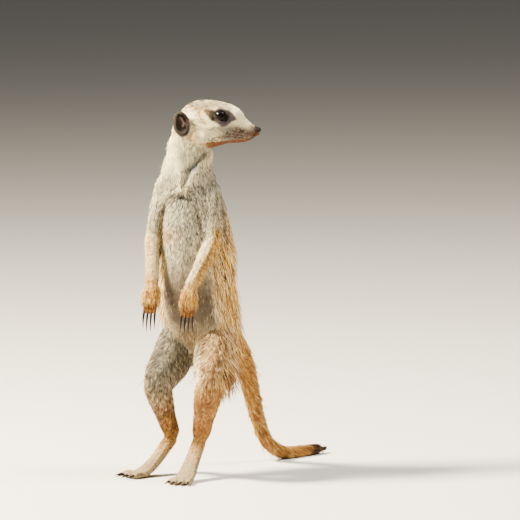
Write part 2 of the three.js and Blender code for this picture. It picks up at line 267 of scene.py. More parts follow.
def folded(flat, folds):
    """How far the skin rises at lines in a plane: each one's path, width, height and reach."""
    return sum(height * by_line(flat, path, width) * reach for path, width, height, reach in folds)


def flecks(points, low, high):
    """Small irregular places scattered through space: 1 inside them, 0 between."""
    return smooth_step(low, high, np.array([noise.noise(p) for p in points.tolist()]))


class Surface:
    """A mesh's points, edges and normals as arrays, to work on all its points at once."""

    def __init__(self, data):
        self.data = data
        self.points = self.read(data.vertices, "co", 3, float)
        self.edges = self.read(data.edges, "vertices", 2, np.int64)
        self.valence = np.maximum(np.bincount(self.edges.ravel(), minlength=len(self.points)), 1)

    @staticmethod
    def read(rows, what, width, kind):
        found = np.empty(len(rows) * width, dtype=kind)
        rows.foreach_get(what, found)
        return found.reshape(-1, width)

    def around(self, field):
        """The mean of a field over each point's neighbours."""
        a, b = self.edges.T
        total = np.empty_like(field)
        for k in range(field.shape[1]):
            total[:, k] = np.bincount(a, field[b, k], len(field)) + np.bincount(b, field[a, k], len(field))
        total /= self.valence[:, None]
        return total

    def spread(self, field, rounds):
        """The field, evened out over the surface."""
        flat = field.ndim == 1
        field = field[:, None].astype(float) if flat else field.astype(float)
        for _ in range(rounds):
            field = 0.5 * field + 0.5 * self.around(field)
        return field[:, 0] if flat else field

    def relax(self, rounds, share=1.0, pushes=(0.5, -0.52)):
        """Smooths the shape, and with both pushes keeps its volume."""
        share = np.broadcast_to(share, len(self.points))[:, None]
        for _ in range(rounds):
            for push in pushes:
                self.points = self.points + push * share * (self.around(self.points) - self.points)

    def fill(self, rounds, share):
        """Fills the hollows, so that one part flows into the next, and leaves the rest as it is."""
        for _ in range(rounds):
            out = self.normals()
            step = np.einsum("ij,ij->i", self.around(self.points) - self.points, out)
            self.points = self.points + out * (np.maximum(step, 0.0) * share)[:, None]

    def push_out(self, height):
        """Moves each point off the surface by its own height, in millimetres."""
        self.points = self.points + self.normals() * (height * MM)[:, None]

    def put_back(self):
        self.data.vertices.foreach_set("co", self.points.ravel())
        self.data.update()

    def normals(self):
        self.put_back()
        return self.read(self.data.vertices, "normal", 3, float)

    def refine(self, wanted):
        """Halves the edges between wanted points, and gives the finer surface."""
        self.put_back()
        made = bmesh.new()
        made.from_mesh(self.data)
        made.verts.ensure_lookup_table()
        split = [e for e in made.edges if wanted[e.verts[0].index] and wanted[e.verts[1].index]]
        bmesh.ops.subdivide_edges(made, edges=split, cuts=1, use_grid_fill=True)
        made.to_mesh(self.data)
        made.free()
        return Surface(self.data)


# Which CAD node each point of the body belongs to.
node_corners, node_faces, face_owner = [], [], []
for index, name in enumerate(FLESH):
    first = len(node_corners)
    node_corners.extend(vert.co.copy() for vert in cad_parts[name].data.vertices)
    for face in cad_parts[name].data.polygons:
        node_faces.append([first + v for v in face.vertices])
        face_owner.append(index)
node_tree = BVHTree.FromPolygons(node_corners, node_faces)


def owners(points):
    """The node nearest to each point, the place on it and the way off it."""
    found = [node_tree.find_nearest(p) for p in points.tolist()]
    return [np.array(row) for row in zip(*((face_owner[f[2]], f[0][:], f[1][:]) for f in found))]


def shares(rounds):
    """How much each point belongs to each node, from 0 to 1, blended across their borders."""
    return {n: shape.spread((owner == i).astype(float), rounds) for i, n in enumerate(FLESH)}


def share_of(*nodes):
    return np.clip(sum(is_node[n] for n in nodes), 0.0, 1.0)


def both(*parts):
    """The share of these parts, on both sides together."""
    return share_of(*(f"{part}_{side}" for part in parts for side in SIDES))


# The remeshed body is very fine all over. Away from the head and paws it is thinned out.
shape = Surface(skin.data)
owner = owners(shape.points)[0]
shape.relax(5)
shape.put_back()
is_fine = np.array([n in HEAD_NODES or n.startswith(("hand", "foot")) for n in FLESH])[owner]
thinned = skin.vertex_groups.new(name="thinned")
thinned.add(np.flatnonzero(~is_fine).tolist(), 1.0, "REPLACE")
quads = shape.read(skin.data.polygons, "vertices", 4, np.int64)
coarse = (~is_fine)[quads].all(axis=1).sum() * 2
thin_out = skin.modifiers.new("thinned out", "DECIMATE")
thin_out.vertex_group = "thinned"
thin_out.vertex_group_factor = 1000.0  # the rest stays as fine as it is
thin_out.ratio = 1 - (coarse - BODY_TRIANGLES) / (2 * len(quads))
with_modifiers(skin)
skin.vertex_groups.clear()
shape = Surface(skin.data)
owner = owners(shape.points)[0]


def trait(name, rounds):
    """A trait's value at every point, blended from part to part."""
    return shape.spread(OF_NODE[name][owner], rounds)


shape.relax(10, trait("smoothed", 3))
# The arms keep their crease against the body below the shoulders.
by_arm = np.isin(owner, [i for i, n in enumerate(FLESH) if n.startswith("arm_")]).astype(float)
at_shoulder = smooth_step(8, 22, on_front(shape.points)[:, 1])
filled = trait("filled", 8) * (1 - shape.spread(by_arm, 14))
below_head = shape.points[:, 2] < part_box("neck")[1].z - 4 * MM
shape.fill(45, np.maximum(filled, 0.85 * at_shoulder) * below_head)

# The skin is finer round the eyes, at the mouth and on the throat.
ahead, out_to_side, above = on_half_head(shape.points).T
near_eye = np.linalg.norm(on_half_head(shape.points) - EYE_AT, axis=1) < 9.5
near_mouth = (ahead > 27) & (ahead < 60) & (out_to_side < 14) & (np.abs(above) < 14)
across, up = on_front(shape.points).T
near_throat = (np.abs(across + 3) < 20) & (np.abs(up - 34) < 26) & (shape.normals()[:, 1] < 0)
shape = shape.refine(near_eye | near_mouth | near_throat)
shape.relax(2)
owner, on_solid, off_solid = owners(shape.points)
is_node = shares(6)

# The fingers and toes are drawn in to their own solids.
drawn = both("hand", "foot")[:, None]
ahead = on_head(shape.points)[:, 0]
shape.points = shape.points + drawn * (on_solid + OVERLAP * off_solid - shape.points)
shape.relax(1)

# The coat thins out towards the nose and the lips, and down to the ankles.
over_floor = shape.points[:, 2] / MM
face_share = share_of("head", "jaw")
to_nose = smooth_step(2, 36, ahead) * face_share
depth = trait("depth", 16) - 0.65 * smooth_step(52, 32, over_floor) * both("leg_shin")
depth *= 1 - 0.72 * to_nose
shape.push_out(-depth - OVERLAP / MM)
shape.relax(4)
# The hocks are rounded where the shin meets the foot, and the ears are drawn up a little.
by_hock = bump(over_floor - 31, 8.0) * both("leg_shin", "foot")
shape.relax(16, by_hock, (0.5,))
shape.push_out(0.45 * by_hock)
up_ear = (shape.points[:, 2] - middle("ear_left")[2]) / MM
shape.points[:, 2] += both("ear") * (1.0 - 0.07 * up_ear) * MM

# ---- the face: lids, lips, brow and cheek, in the head's own frame
EYE_GAZE = unit(np.array((0.45, 0.87, 0.2)))
EYE_TOWARDS_NOSE = unit(np.array((1.0, 0.0, 0.0)) - EYE_GAZE[0] * EYE_GAZE)
EYE_UPWARDS = np.cross(EYE_TOWARDS_NOSE, EYE_GAZE)
EYE_UPWARDS *= np.sign(EYE_UPWARDS[2])
LID_WIDE, LID_HIGH = 4.5, 3.6  # half the opening
# The lids' distance from the eye's middle, beyond its radius, from inside the opening outwards.
LID_AT = (0.0, 0.88, 0.97, 1.06, 1.25, 1.7, 2.4)
LID_OVER = (-1.1, -0.9, 0.2, 0.5, 0.35, 0.3, 0.4)
NO_LID = 9.0  # a distance from the opening beyond every lid
LID_REACH = 13  # how far from the eye's middle there can be lids, in millimetres


def lid_distance(points):
    """How far out from the eye's middle, where 1 is the edge of the lids."""
    q = on_half_head(points) - EYE_AT
    way = unit(q)
    across = EYE_RADIUS * (way @ EYE_TOWARDS_NOSE)
    up = EYE_RADIUS * (way @ EYE_UPWARDS) + 0.22 * across - 0.1
    taper = 1 - 0.3 * np.clip(np.abs(across) / LID_WIDE, 0, 1) ** 2
    found = np.hypot(across / LID_WIDE, up / (LID_HIGH * taper))
    behind = (way @ EYE_GAZE) < 0.12
    return np.where(behind | (np.linalg.norm(q, axis=1) > LID_REACH), NO_LID, found), q


around_lid, from_eye = lid_distance(shape.points)
reach = np.linalg.norm(from_eye, axis=1)
lid_radius = EYE_RADIUS + np.interp(around_lid, LID_AT, LID_OVER)
near_ball = smooth_step(EYE_RADIUS + 3.2, EYE_RADIUS + 1.2, reach)
hold = (1 - smooth_step(1.35, 2.3, around_lid)) * near_ball
moved = from_eye * (lid_radius / np.maximum(reach, 1e-6) - 1)[:, None]
own_side = np.where(on_head(shape.points)[:, 1] < 0, -1.0, 1.0)
moved[:, 1] *= own_side
shape.points = shape.points + (moved * hold[:, None]) @ HEAD_AXES.T * MM

# Swellings and hollows: where, how wide and how high, in millimetres.
FACE_FORMS = (
    ((21, 8.5, 15.5), 4.5, 0.7),  # brow
    ((30, 7.5, 3.0), 4.0, -0.5),  # hollow before the eye
    ((36, 7.0, -4.5), 5.0, 0.7),  # whisker pad
    ((20, 13.0, -1.0), 4.5, 0.45),  # cheekbone
    ((10, 12.5, -9.0), 6.0, 0.5),  # jaw muscle
    ((0, 17.0, 5.0), 4.5, -0.7),  # hollow before the ear
)
# Lines on the side of the head, as places ahead of its middle and above it.
MOUTH = np.array(((48.5, -8.3), (41, -9.4), (34, -8.8), (23, -6.9)))
EAR_CREASE = ((-8, 17), (1.6, 13.2), (3.2, 7.6), (8.1, 2.0))
EAR_FOLD = ((-13.5, 9), (-10.4, 8.8), (-8.6, 5.6), (-7.9, 2), (-8.1, -1))
EAR_RIDGE = ((-12, 7.4), (-10.6, 5.6), (-9.4, 3), (-10.4, 0.4))
faced = on_half_head(shape.points)
profile = faced[:, [0, 2]]
on_lips = np.clip(smooth_step(0.5, 2.5, faced[:, 1]) + (faced[:, 0] > 44), 0, 1) * face_share
outward = (shape.normals() @ HEAD_AXES)[:, 1] * own_side
in_dish = both("ear") * smooth_step(0.0, 0.5, outward)
lift = sum(high * by_spot(faced, spot, wide) for spot, wide, high in FACE_FORMS) * face_share
lift += folded(profile, (
    (MOUTH, 0.55, -0.75, on_lips),
    (MOUTH + (0, 1.4), 1.0, 0.3, face_share),
    (EAR_CREASE, 1.0, -0.35, face_share),
    (EAR_FOLD, 0.9, -1.0, in_dish),
    (EAR_RIDGE, 0.7, 0.6, in_dish),
))
shape.push_out(lift)

# ---- the body: folds and ridges over its front, measured from the middle of the chest
WHORL = (-10.1, 15.7)
NECK_RIDGES = (
    ((-17, 56), (-12, 41), (-12.5, 27), (-11, 19)),
    ((11.5, 51.5), (5, 39.5), (-5, 27.5), (-9, 18)),
)
NECK_CREASES = (((6.5, 50.5), (0.4, 42), (-6, 35), (-9.3, 22), (-10, 16)), ((0.2, 35), (7.2, 41)))
ARM_CREASES = (
    ((-24.5, 7.7), (-26.1, -0.8), (-27.1, -6.8), (-28.1, -22.9), (-28.5, -36.5)),
    ((-0.5, 7.3), (2.7, -2.8), (4.3, -10)),
    ((17.1, 13.3), (21.1, -4.4), (21.9, -17.3)),
)
CHEST_ARCH = np.array(
    ((-24.5, 7), (-20.5, 10), (-10, 15.6), (-1.3, 8.5), (2.7, -7.6), (3.5, -15), (2, -30))
)
GROIN_EDGE = np.array(((-29, -59), (-26, -73), (-20.5, -89), (-12, -100), (-5, -108), (-3.3, -121)))
GROIN_FOLD = GROIN_EDGE - (2.6, 1.8)
THIGH_EDGE = ((6.5, -81), (4, -98), (1, -115), (-0.8, -130))
front = on_front(shape.points)
facing = -shape.normals()[:, 1]
trunk_share = share_of(*TRUNK_NODES)
thigh_share = both("leg_thigh")
trunk_front = trunk_share * smooth_step(-0.2, 0.4, facing)
lower = trunk_share + thigh_share
upper = np.clip(trunk_share + both("arm_upper", "arm_fore"), 0, 1) * (facing > -0.3)
folds = [(path, 3.0, 2.0, trunk_front) for path in NECK_RIDGES]
folds += [(path, 1.7, -deep, trunk_front) for path, deep in zip(NECK_CREASES, (2.0, 0.4))]
folds += [(path, 1.5, -deep, upper) for path, deep in zip(ARM_CREASES, (3.2, 2.4, 2.6))]
folds += [
    (CHEST_ARCH, 2.0, -0.9, trunk_front),
    (CHEST_ARCH + (0, 4), 3.0, 0.7, trunk_front),
    (GROIN_EDGE, 1.9, 1.3, np.clip(lower, 0, 1)),
    (GROIN_FOLD, 1.7, -1.5, np.clip(lower, 0, 1)),
    (THIGH_EDGE, 2.4, 0.6, lower),
]
# The near shoulder runs smoothly into the neck.
by_shoulder = smooth_step(17, 9, np.linalg.norm(front - (13, 23), axis=1)) * (facing > -0.5)
shape.push_out(folded(front, folds) - 1.6 * by_spot(front, WHORL, 2.6) * trunk_front)
shape.relax(30, by_shoulder)
shape.relax(1)
shape.put_back()

# ---- markings, kept on the skin's points and handed on to the coat
tan, bare, grey, ticks = trait("tan", 30), trait("bare", 30), trait("grey", 30), trait("ticks", 20)
darks, russets = [], []  # of these two marks the strongest layer shows

NORMALS = shape.normals()
leftward, backish = NORMALS[:, 0], NORMALS[:, 1]  # how far the skin faces to each of these ways
faced = on_half_head(shape.points)
profile = faced[:, [0, 2]]
ahead, above = profile.T
front = on_front(shape.points)
high_up = front[:, 1]


def at_height(low, high):
    """From 0 at one height over the chest's middle to 1 at another."""
    return smooth_step(low, high, high_up)


is_node = shares(12)
head_share = share_of("head", "jaw")
ear_share = both("ear")
neck_share = is_node["neck"]
trunk_share = share_of(*TRUNK_NODES)
left_thigh, right_thigh = is_node["leg_thigh_left"], is_node["leg_thigh_right"]
left_leg, right_leg = (share_of(*(f"{part}_{side}" for part in LEG_PARTS)) for side in SIDES)
backward = smooth_step(-0.35, 0.75, backish)

# The back and flanks are tan, the belly and the inside of the thighs are thinly haired.
sideways = NORMALS @ np.array((0.95, -0.3, 0.0))  # the chest is turned a little to its right
flank = np.maximum(smooth_step(0.6, 0.88, np.abs(sideways)), backward)
below_neck = trunk_share * at_height(30, -30)
tan += (1.0 - tan) * flank * below_neck
ticks += 0.45 * flank * below_neck
bare *= 1 - flank
# Less grey on the back, and less on the side that faces the key lamp as painted light, most of all on the
# neck.
grey *= 1 - np.maximum(smooth_step(-0.35, -0.85, leftward), backward) * (0.25 + 0.5 * neck_share)
grey *= 1 - flank * below_neck * trunk_share
low_neck = neck_share * at_height(48, 20) * (1 - backward)
grey += 0.3 * low_neck
ticks += 0.6 * low_neck
ticks += (0.9 - ticks) * backward * (trunk_share + 0.6 * thigh_share)
tan += 0.35 * backward * neck_share
for side, outside, tanned in (("left", 1.0, 1.0), ("right", -1.0, 0.45)):
    outer = smooth_step(-0.55, 0.1, leftward * outside + 0.25 * backish)
    below_shoulder = is_node[f"arm_upper_{side}"] * outer * at_height(12, -30) * tanned
    grey *= 1 - 0.7 * below_shoulder
    tan += 0.95 * below_shoulder + is_node[f"arm_fore_{side}"] * (0.2 + 0.8 * outer * tanned)
    tan += is_node[f"leg_thigh_{side}"] * 0.5 * outer
tan += at_height(-40, -60) * 0.5 * both("arm_fore")
# The left elbow has a rich golden patch.
elbow = by_spot(front, (18.5, -17.5), 6.0, (1, 0.7)) * share_of("arm_upper_left", "arm_fore_left")
# The right thigh shows its thinly haired inner side.
right_inside = smooth_step(-0.75, -0.1, leftward) * (1 - backward)
tan *= 1 - right_thigh * right_inside
# The right thigh's side that faces the key lamp is greyed as painted shade.
grey += 0.85 * right_thigh * smooth_step(-0.95, -0.6, leftward)
bare += 0.5 * right_thigh * right_inside
# The left thigh is pale down its front edge and tan over the rest, most of all low down.
front_edge = smooth_step(-0.45, -0.9, leftward) * left_thigh
bare += 0.5 * is_node["trunk_belly"] * at_height(-35, -70) * (1 - flank)
bare *= 1 - 0.7 * by_line(front, GROIN_EDGE, 1.4) * trunk_share
tan += 0.45 * by_spot(front, (-4, -99), 10.0, (1, 0.7)) * trunk_share
# Down the legs the tan comes on slowly, and it fades out again below the hocks.
right_outside = np.maximum(backward, smooth_step(-0.75, -0.95, leftward))
right_tan = np.maximum(0.12 + 0.88 * at_height(-124, -170), 0.8 * right_outside)
right_bare = (0.95 - 0.45 * right_inside) * at_height(-165, -130) * (1 - right_outside)
right_grey = 0.6 * at_height(-165, -120) * (1 - 0.7 * right_outside)
left_grey = 0.22 * (1 - front_edge) * at_height(-150, -125)
above_foot = at_height(-202, -172)
down_foot = 1 - 0.42 * at_height(-180, -204)
on_foot = at_height(-186, -204)
mottled = flecks(shape.points / MM * (0.5, 0.5, 0.7), -0.2, 0.35)
tan += left_leg * (0.95 * down_foot * (1 - 0.8 * front_edge) - tan)
tan += right_leg * (right_tan * down_foot - tan) + 0.9 * elbow
bare += right_leg * (right_bare - bare)
bare += (0.4 * left_leg + 0.5 * right_leg) * on_foot
grey += right_leg * (right_grey - grey)
grey += left_leg * (left_grey - grey)
grey += (left_leg + right_leg) * on_foot * 0.5 * mottled
grey *= 1 - elbow
# Reddish low on the legs and over the tail: partly their own colour and partly painted warm light reflected
# up from the ground.
russets += [
    0.12 * left_thigh + 0.6 * left_leg * at_height(-118, -152) * above_foot,
    0.7 * right_leg * at_height(-128, -168) * above_foot,
    0.45 * share_of(*TAIL_NODES),
]
# Painted shade over the right leg from the thigh down, mottled a little, and a darker back to the left
# thigh.
darks += [
    (0.3 + 0.2 * mottled) * right_leg * at_height(-75, -110) * above_foot,
    0.2 * left_thigh * backward,
]


def oval(flat, at, radii, turn):
    """How far out from the middle of a turned oval in a plane, where 1 is its edge."""
    c, s = math.cos(math.radians(turn)), math.sin(math.radians(turn))
    x, z = (flat - at).T
    return np.hypot((x * c + z * s) / radii[0], (z * c - x * s) / radii[1])


def depth_inside(flat, outline):
    """How far points in a plane lie inside a closed outline, and outside it less than nothing."""
    closed = outline + outline[:1]
    inside = np.zeros(len(flat), dtype=bool)
    for (ax, az), (bx, bz) in zip(closed[:-1], closed[1:]):
        passed = (az > flat[:, 1]) != (bz > flat[:, 1])
        slope = (bx - ax) / (bz - az if bz != az else 1e-9)
        inside ^= passed & (flat[:, 0] < ax + slope * (flat[:, 1] - az))
    return line_distance(flat, closed) * np.where(inside, 1.0, -1.0)


# Eye patches, each with a browner tail towards the ear, and a black rim to the lids.
PATCH_OUTLINE = (
    (-5.4, 4.2), (-1, 6.4), (3.5, 6.0), (7, 4.2), (10.5, 1.6), (13.2, -2.8), (9.2, -4.6), (6.1, -7.6),
    (2, -9), (-2, -5.6), (-5.4, -2.4),
)
TAIL_OUTLINE = (
    (-16, 6.4), (-10, 5.6), (-5, 4.8), (-3.4, 3), (-3.4, -4), (-6, -3.6), (-9.4, 0), (-13.5, 3.8),
)
at_side = smooth_step(3.5, 6.5, faced[:, 1]) * head_share
by_eye = profile - (EYE_AHEAD, EYE_ABOVE)
patch = smooth_step(-0.5, 0.7, depth_inside(by_eye, PATCH_OUTLINE)) * at_side
patch_tail = smooth_step(-0.9, 0.9, depth_inside(by_eye, TAIL_OUTLINE)) * at_side
patch_tail *= 0.35 + 0.65 * smooth_step(-14, -8, by_eye[:, 0])
around_lid, from_eye = lid_distance(shape.points)
by_lid = smooth_step(EYE_RADIUS + 2.6, EYE_RADIUS + 1.2, np.linalg.norm(from_eye, axis=1))
behind_eye = smooth_step(-2.2, -3.4, from_eye @ EYE_TOWARDS_NOSE) * smooth_step(-4.5, -2.5, by_eye[:, 1])
rim = np.maximum(smooth_step(1.3, 1.14, around_lid), 0.8 * smooth_step(1.8, 1.5, around_lid) * behind_eye)
rim *= by_lid
darks += [0.9 * patch_tail, rim * head_share]
russets += [0.6 * patch_tail]

# Dark flecks over the whisker pad, along the lip, below the eye and before the ear, and the
# whiskers' pits in three rows.
FLECKED = (
    ((30, -5.4), (10, 5), 8, 0.85), ((21, -8.6), (5, 2.2), 4, 0.95), ((11, -10.2), (8, 2.6), 6, 0.75),
    ((14.5, -1.6), (7, 2.2), 0, 0.5), ((0, 2.4), (6.5, 4), -20, 0.6), ((38, -6), (6, 4), 0, 0.6),
)
WHISKER_ROWS = (-2.2, -4.4, -6.4)
WHISKERS_IN_ROW = 5
PITS = [
    (row, step, (29.5 + 2.3 * step + 0.8 * (row % 2), high - 0.12 * step))
    for row, high in enumerate(WHISKER_ROWS) for step in range(WHISKERS_IN_ROW)
]
fine_flecks = flecks(faced * (0.42, 0.8, 0.8), -0.12, 0.3)
for at, radii, turn, strong in FLECKED:
    darks += [strong * smooth_step(1.25, 0.6, oval(profile, at, radii, turn)) * at_side * fine_flecks]
darks += [0.75 * by_spot(profile, pit, 0.55) * at_side for row, step, pit in PITS]
darks += [
    0.6 * by_line(profile, MOUTH, 0.8) * head_share,
    0.5 * by_line(profile, ((25, -7.5), (20, -8.3)), 1.5) * at_side,
    0.3 * by_line(profile, EAR_CREASE, 0.8) * at_side,
]

# The muzzle: grey and brownish below the bridge. Its end, the chin and the underside of the jaw, which
# faces down, get painted shade and reddish painted light reflected up from the ground.
below_bridge = smooth_step(4.0, -3.5, above + 0.12 * (ahead - 30)) * head_share
chin = smooth_step(40, 45, ahead) * smooth_step(-3.5, -6.5, above) * head_share
snout_end = smooth_step(37, 45, ahead) * smooth_step(4, -1, above - 0.5 * (ahead - 40)) * head_share
under_jaw = smooth_step(-0.05, -0.6, NORMALS[:, 2]) * head_share
under_jaw *= smooth_step(-11.0, -13.0, above - 0.07 * (ahead - 10))
tan += 0.15 * smooth_step(14, 32, ahead) * below_bridge + 0.35 * under_jaw
grey += 0.85 * smooth_step(10, 28, ahead) * below_bridge
russets += [
    0.5 * smooth_step(18, 38, ahead - 0.6 * above) * below_bridge,
    0.95 * chin,
    0.6 * snout_end,
    0.95 * under_jaw * smooth_step(0, 12, ahead),
]
darks += [
    0.45 * chin,
    0.42 * snout_end,
    (0.25 + 0.4 * fine_flecks) * under_jaw * smooth_step(-3, 12, ahead),
]
# The crown is grizzled, and there is tan behind the eye patch, at the ear and below it.
crown = smooth_step(10, 16.5, above) * smooth_step(30, 20, ahead) * head_share
tan += 0.5 * crown
tan += 0.3 * smooth_step(1.3, 0.3, oval(by_eye, (-13, 4), (7, 6), 0)) * at_side
tan += 0.55 * by_line(profile, EAR_CREASE, 1.7) * at_side
tan += 0.5 * smooth_step(1.2, 0.5, oval(profile, (-2.5, -8.5), (8.0, 4.2), 20)) * at_side
grey += 0.55 * crown
darks += [(0.06 + 0.42 * flecks(faced * (0.3, 0.6, 0.6) + 40, -0.05, 0.35)) * crown]
ticks += 1.4 * crown + 1.8 * smooth_step(14, 26, ahead) * below_bridge
# The ears are almost bare and dark, with painted shade deepening the inner dish and the fold, and a pale
# pink painted highlight along the ridge inside.
on_ear = smooth_step(0.35, 0.6, ear_share)
outward = (NORMALS @ HEAD_AXES)[:, 1] * np.where(on_head(shape.points)[:, 1] < 0, -1.0, 1.0)
in_dish = ear_share * smooth_step(0.0, 0.5, outward)
patch = np.maximum(patch, 0.5 * on_ear)
bare = np.maximum(bare, on_ear)
painted_highlight = by_line(profile, EAR_RIDGE, 0.6) * in_dish
darks += [
    on_ear * (0.5 + (0.2 + 0.3 * by_line(profile, EAR_FOLD, 3.0)) * smooth_step(0.1, 0.6, outward)),
    by_line(profile, EAR_FOLD, 1.1) * in_dish,
]

# The chest's grizzled places, and small dark places on the front: the whorl and teats, with painted shade
# along the folds and creases, which on the neck's creases is partly dark hair.
GRIZZLED = (((-22, 22), (7, 15), 10), ((13, 8), (9, 19), 15), ((-10, 18), (9, 9), 0))
SPOTS = ((WHORL, 2.4, 0.95), ((-4.5, -33), 1.3, 0.85), ((-18.8, -69), 1.2, 0.85), ((-29.9, -6), 2.2, 0.6))
DARK_LINES = (  # each one's path, width and strength
    (NECK_CREASES[0][:3], 0.9, 0.25), (NECK_CREASES[1], 0.9, 0.5), (CHEST_ARCH, 1.3, 0.35),
    (GROIN_FOLD, 1.4, 0.4), *zip(ARM_CREASES, (1.1, 1.1, 1.1), (0.9, 0.75, 0.5)),
)
for at, radii, turn in GRIZZLED:
    ticks += 0.75 * smooth_step(1.2, 0.5, oval(front, at, radii, turn)) * (backish < 0.2)
trunk_front = np.clip(trunk_share + is_node["arm_upper_right"], 0, 1) * smooth_step(-0.2, 0.4, -backish)
darks += [strong * by_spot(front, at, wide) * trunk_front for at, wide, strong in SPOTS]
darks += [strong * by_line(front, path, wide) * trunk_front for path, wide, strong in DARK_LINES]
# The two creases of the neck also have more black tufts.
dark_streak = [strong * by_line(front, path, 1.1) * trunk_front for path, wide, strong in DARK_LINES[:2]]
dark_streak = np.maximum.reduce(dark_streak)
# Painted light and shade on the neck: greyer along its creases and paler on its ridges.
for path in NECK_CREASES:
    grey += 0.5 * by_line(front, path, 4.0) * trunk_front
for path in NECK_RIDGES:
    grey *= 1 - 0.9 * by_line(front, path, 2.6) * trunk_front
brown_spot = by_spot(front, (-19.5, -15.5), 5.0, (0.7, 1)) * trunk_front
tan += 0.6 * brown_spot
grey *= 1 - 0.8 * brown_spot
russets += [0.3 * brown_spot]
darks += [0.2 * brown_spot]
# About ten bars across the back, fading at the flanks, and a dark end to the tail.
BAR_EVERY = 13.0
bar_wave = np.sin(2 * math.pi * (high_up - 0.18 * np.abs(front[:, 0] + 10)) / BAR_EVERY)
bars = smooth_step(0.0, 0.7, bar_wave) * smooth_step(0.1, 0.7, backish) * trunk_share
tail_end = smooth_step(0, 1, is_node["tail_tip"]) * smooth_step(68, 76, shape.points[:, 0] / MM)
darks += [0.85 * bars * at_height(12, -8), 0.9 * tail_end]


def near_claws(paw, far, near):
    """1 at the claws of a kind of paw, down to 0 at the far distance from them."""
    claws = [middle(n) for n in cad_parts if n.startswith(paw)]
    gap = np.min([np.linalg.norm(shape.points - at, axis=1) for at in claws], axis=0) / MM
    return smooth_step(far, near, gap)


# Towards the claws the fingers redden with painted light reflected up from the ground, and darken a little.
finger = near_claws("foreclaw", 17.5, 12.5) * both("hand")
toe = near_claws("hindclaw", 8.0, 4.0) * both("foot")
russets += [0.75 * finger]
darks += [0.2 * finger]

MARKS = {
    "tan": tan, "grey": grey, "bare": bare, "russet": np.maximum.reduce(russets), "patch": patch,
    "dark": np.maximum.reduce(darks), "painted_highlight": painted_highlight,
}
MARKS = {name: np.clip(shape.spread(mark, 1), 0, 1) for name, mark in MARKS.items()}
ticks = np.clip(ticks, 0, 3)
silvered = np.clip(0.5 * ticks + flank * below_neck + 0.2 * thigh_share, 0, 1)
silvered *= 1 - left_leg * at_height(-125, -145)


def keep_marks(thing, marks):
    for name, mark in marks.items():
        kept = thing.data.attributes.new(name, "FLOAT", "POINT")
        kept.data.foreach_set("value", np.asarray(mark, dtype=np.float32))


everywhere = np.ones(len(shape.points))
keep_marks(skin, {**MARKS, "along": 0.25 * everywhere, "tone": 0.5 * everywhere})


# ---- the coat's colours, shared by the skin and the hair
class Wiring:
    """Adds nodes to a node tree and joins them up."""

    def __init__(self, tree):
        self.tree = tree

    def node(self, kind, inputs=(), **settings):
        made = self.tree.nodes.new(kind)
        for name, value in settings.items():
            setattr(made, name, value)
        for name, value in dict(inputs).items():
            self.put(made.inputs[name], value)
        return made

    def put(self, socket, value):
        if isinstance(value, bpy.types.NodeSocket):
            self.tree.links.new(value, socket)
        else:
            socket.default_value = value

    def math(self, operation, *values):
        made = self.node("ShaderNodeMath", operation=operation)
        for socket, value in zip(made.inputs, values):
            self.put(socket, value)
        return made.outputs[0]

    def blend(self, share, first, second, how="MIX"):
        made = self.node("ShaderNodeMix", data_type="RGBA", blend_type=how)
        for name, value in (("Factor_Float", share), ("A_Color", first), ("B_Color", second)):
            self.put(next(s for s in made.inputs if s.identifier == name), value)
        return next(s for s in made.outputs if s.identifier == "Result_Color")

    def mark(self, name):
        return self.node("ShaderNodeAttribute", attribute_name=name).outputs["Fac"]

    def steps(self, value, low, high, bottom=0.0, top=1.0):
        inputs = {"Value": value, "From Min": low, "From Max": high, "To Min": bottom, "To Max": top}
        return self.node("ShaderNodeMapRange", inputs, interpolation_type="SMOOTHSTEP").outputs["Result"]

    def speckle(self, scale, detail=2.0, stretch=None):
        place = self.node("ShaderNodeTexCoord").outputs["Object"]
        if stretch:
            place = self.node("ShaderNodeMapping", {"Vector": place, "Scale": stretch}).outputs["Vector"]
        inputs = {"Vector": place, "Scale": scale, "Detail": detail}
        return self.node("ShaderNodeTexNoise", inputs).outputs["Fac"]

    def cells(self, scale):
        place = self.node("ShaderNodeTexCoord").outputs["Object"]
        return self.node("ShaderNodeTexVoronoi", {"Vector": place, "Scale": scale}).outputs["Distance"]

    def relief(self, height, strength, distance):
        inputs = {"Height": height, "Strength": strength, "Distance": distance}
        return self.node("ShaderNodeBump", inputs).outputs["Normal"]

    def shared(self, tree, result):
        return self.node("ShaderNodeGroup", node_tree=tree).outputs[result]


def shader_group(name, inputs, outputs):
    tree = bpy.data.node_groups.new(name, "ShaderNodeTree")
    for way, sockets in (("INPUT", inputs), ("OUTPUT", outputs)):
        for label, kind, value in sockets:
            socket = tree.interface.new_socket(label, in_out=way, socket_type=kind)
            if value is not None:
                socket.default_value = value
    wires = Wiring(tree)
    return wires, wires.node("NodeGroupInput").outputs, wires.node("NodeGroupOutput").inputs


COLOUR, NUMBER = "NodeSocketColor", "NodeSocketFloat"
wires, given, result = shader_group(
    "coat colours",
    (
        ("Pale", COLOUR, (0.93, 0.81, 0.52, 1)), ("Tan", COLOUR, (0.39, 0.175, 0.035, 1)),
        ("Gold", COLOUR, (0.65, 0.405, 0.085, 1)), ("Grey", COLOUR, (0.122, 0.14, 0.156, 1)),
        ("Bare", COLOUR, (0.125, 0.092, 0.064, 1)), ("Russet", COLOUR, (0.18, 0.05, 0.012, 1)),
        ("Dark", COLOUR, (0.009, 0.006, 0.0055, 1)), ("Patch", COLOUR, (0.105, 0.082, 0.084, 1)),
        ("Painted_highlight", COLOUR, (0.26, 0.16, 0.14, 1)), ("Root Shade", NUMBER, 0.6),
    ),
    (("Color", COLOUR, None),),
)
along, tone = wires.mark("along"), wires.mark("tone")
patchy = wires.speckle(130.0, 3.0)
golden = wires.blend(wires.steps(tone, 0.2, 0.65), given["Gold"], given["Tan"])
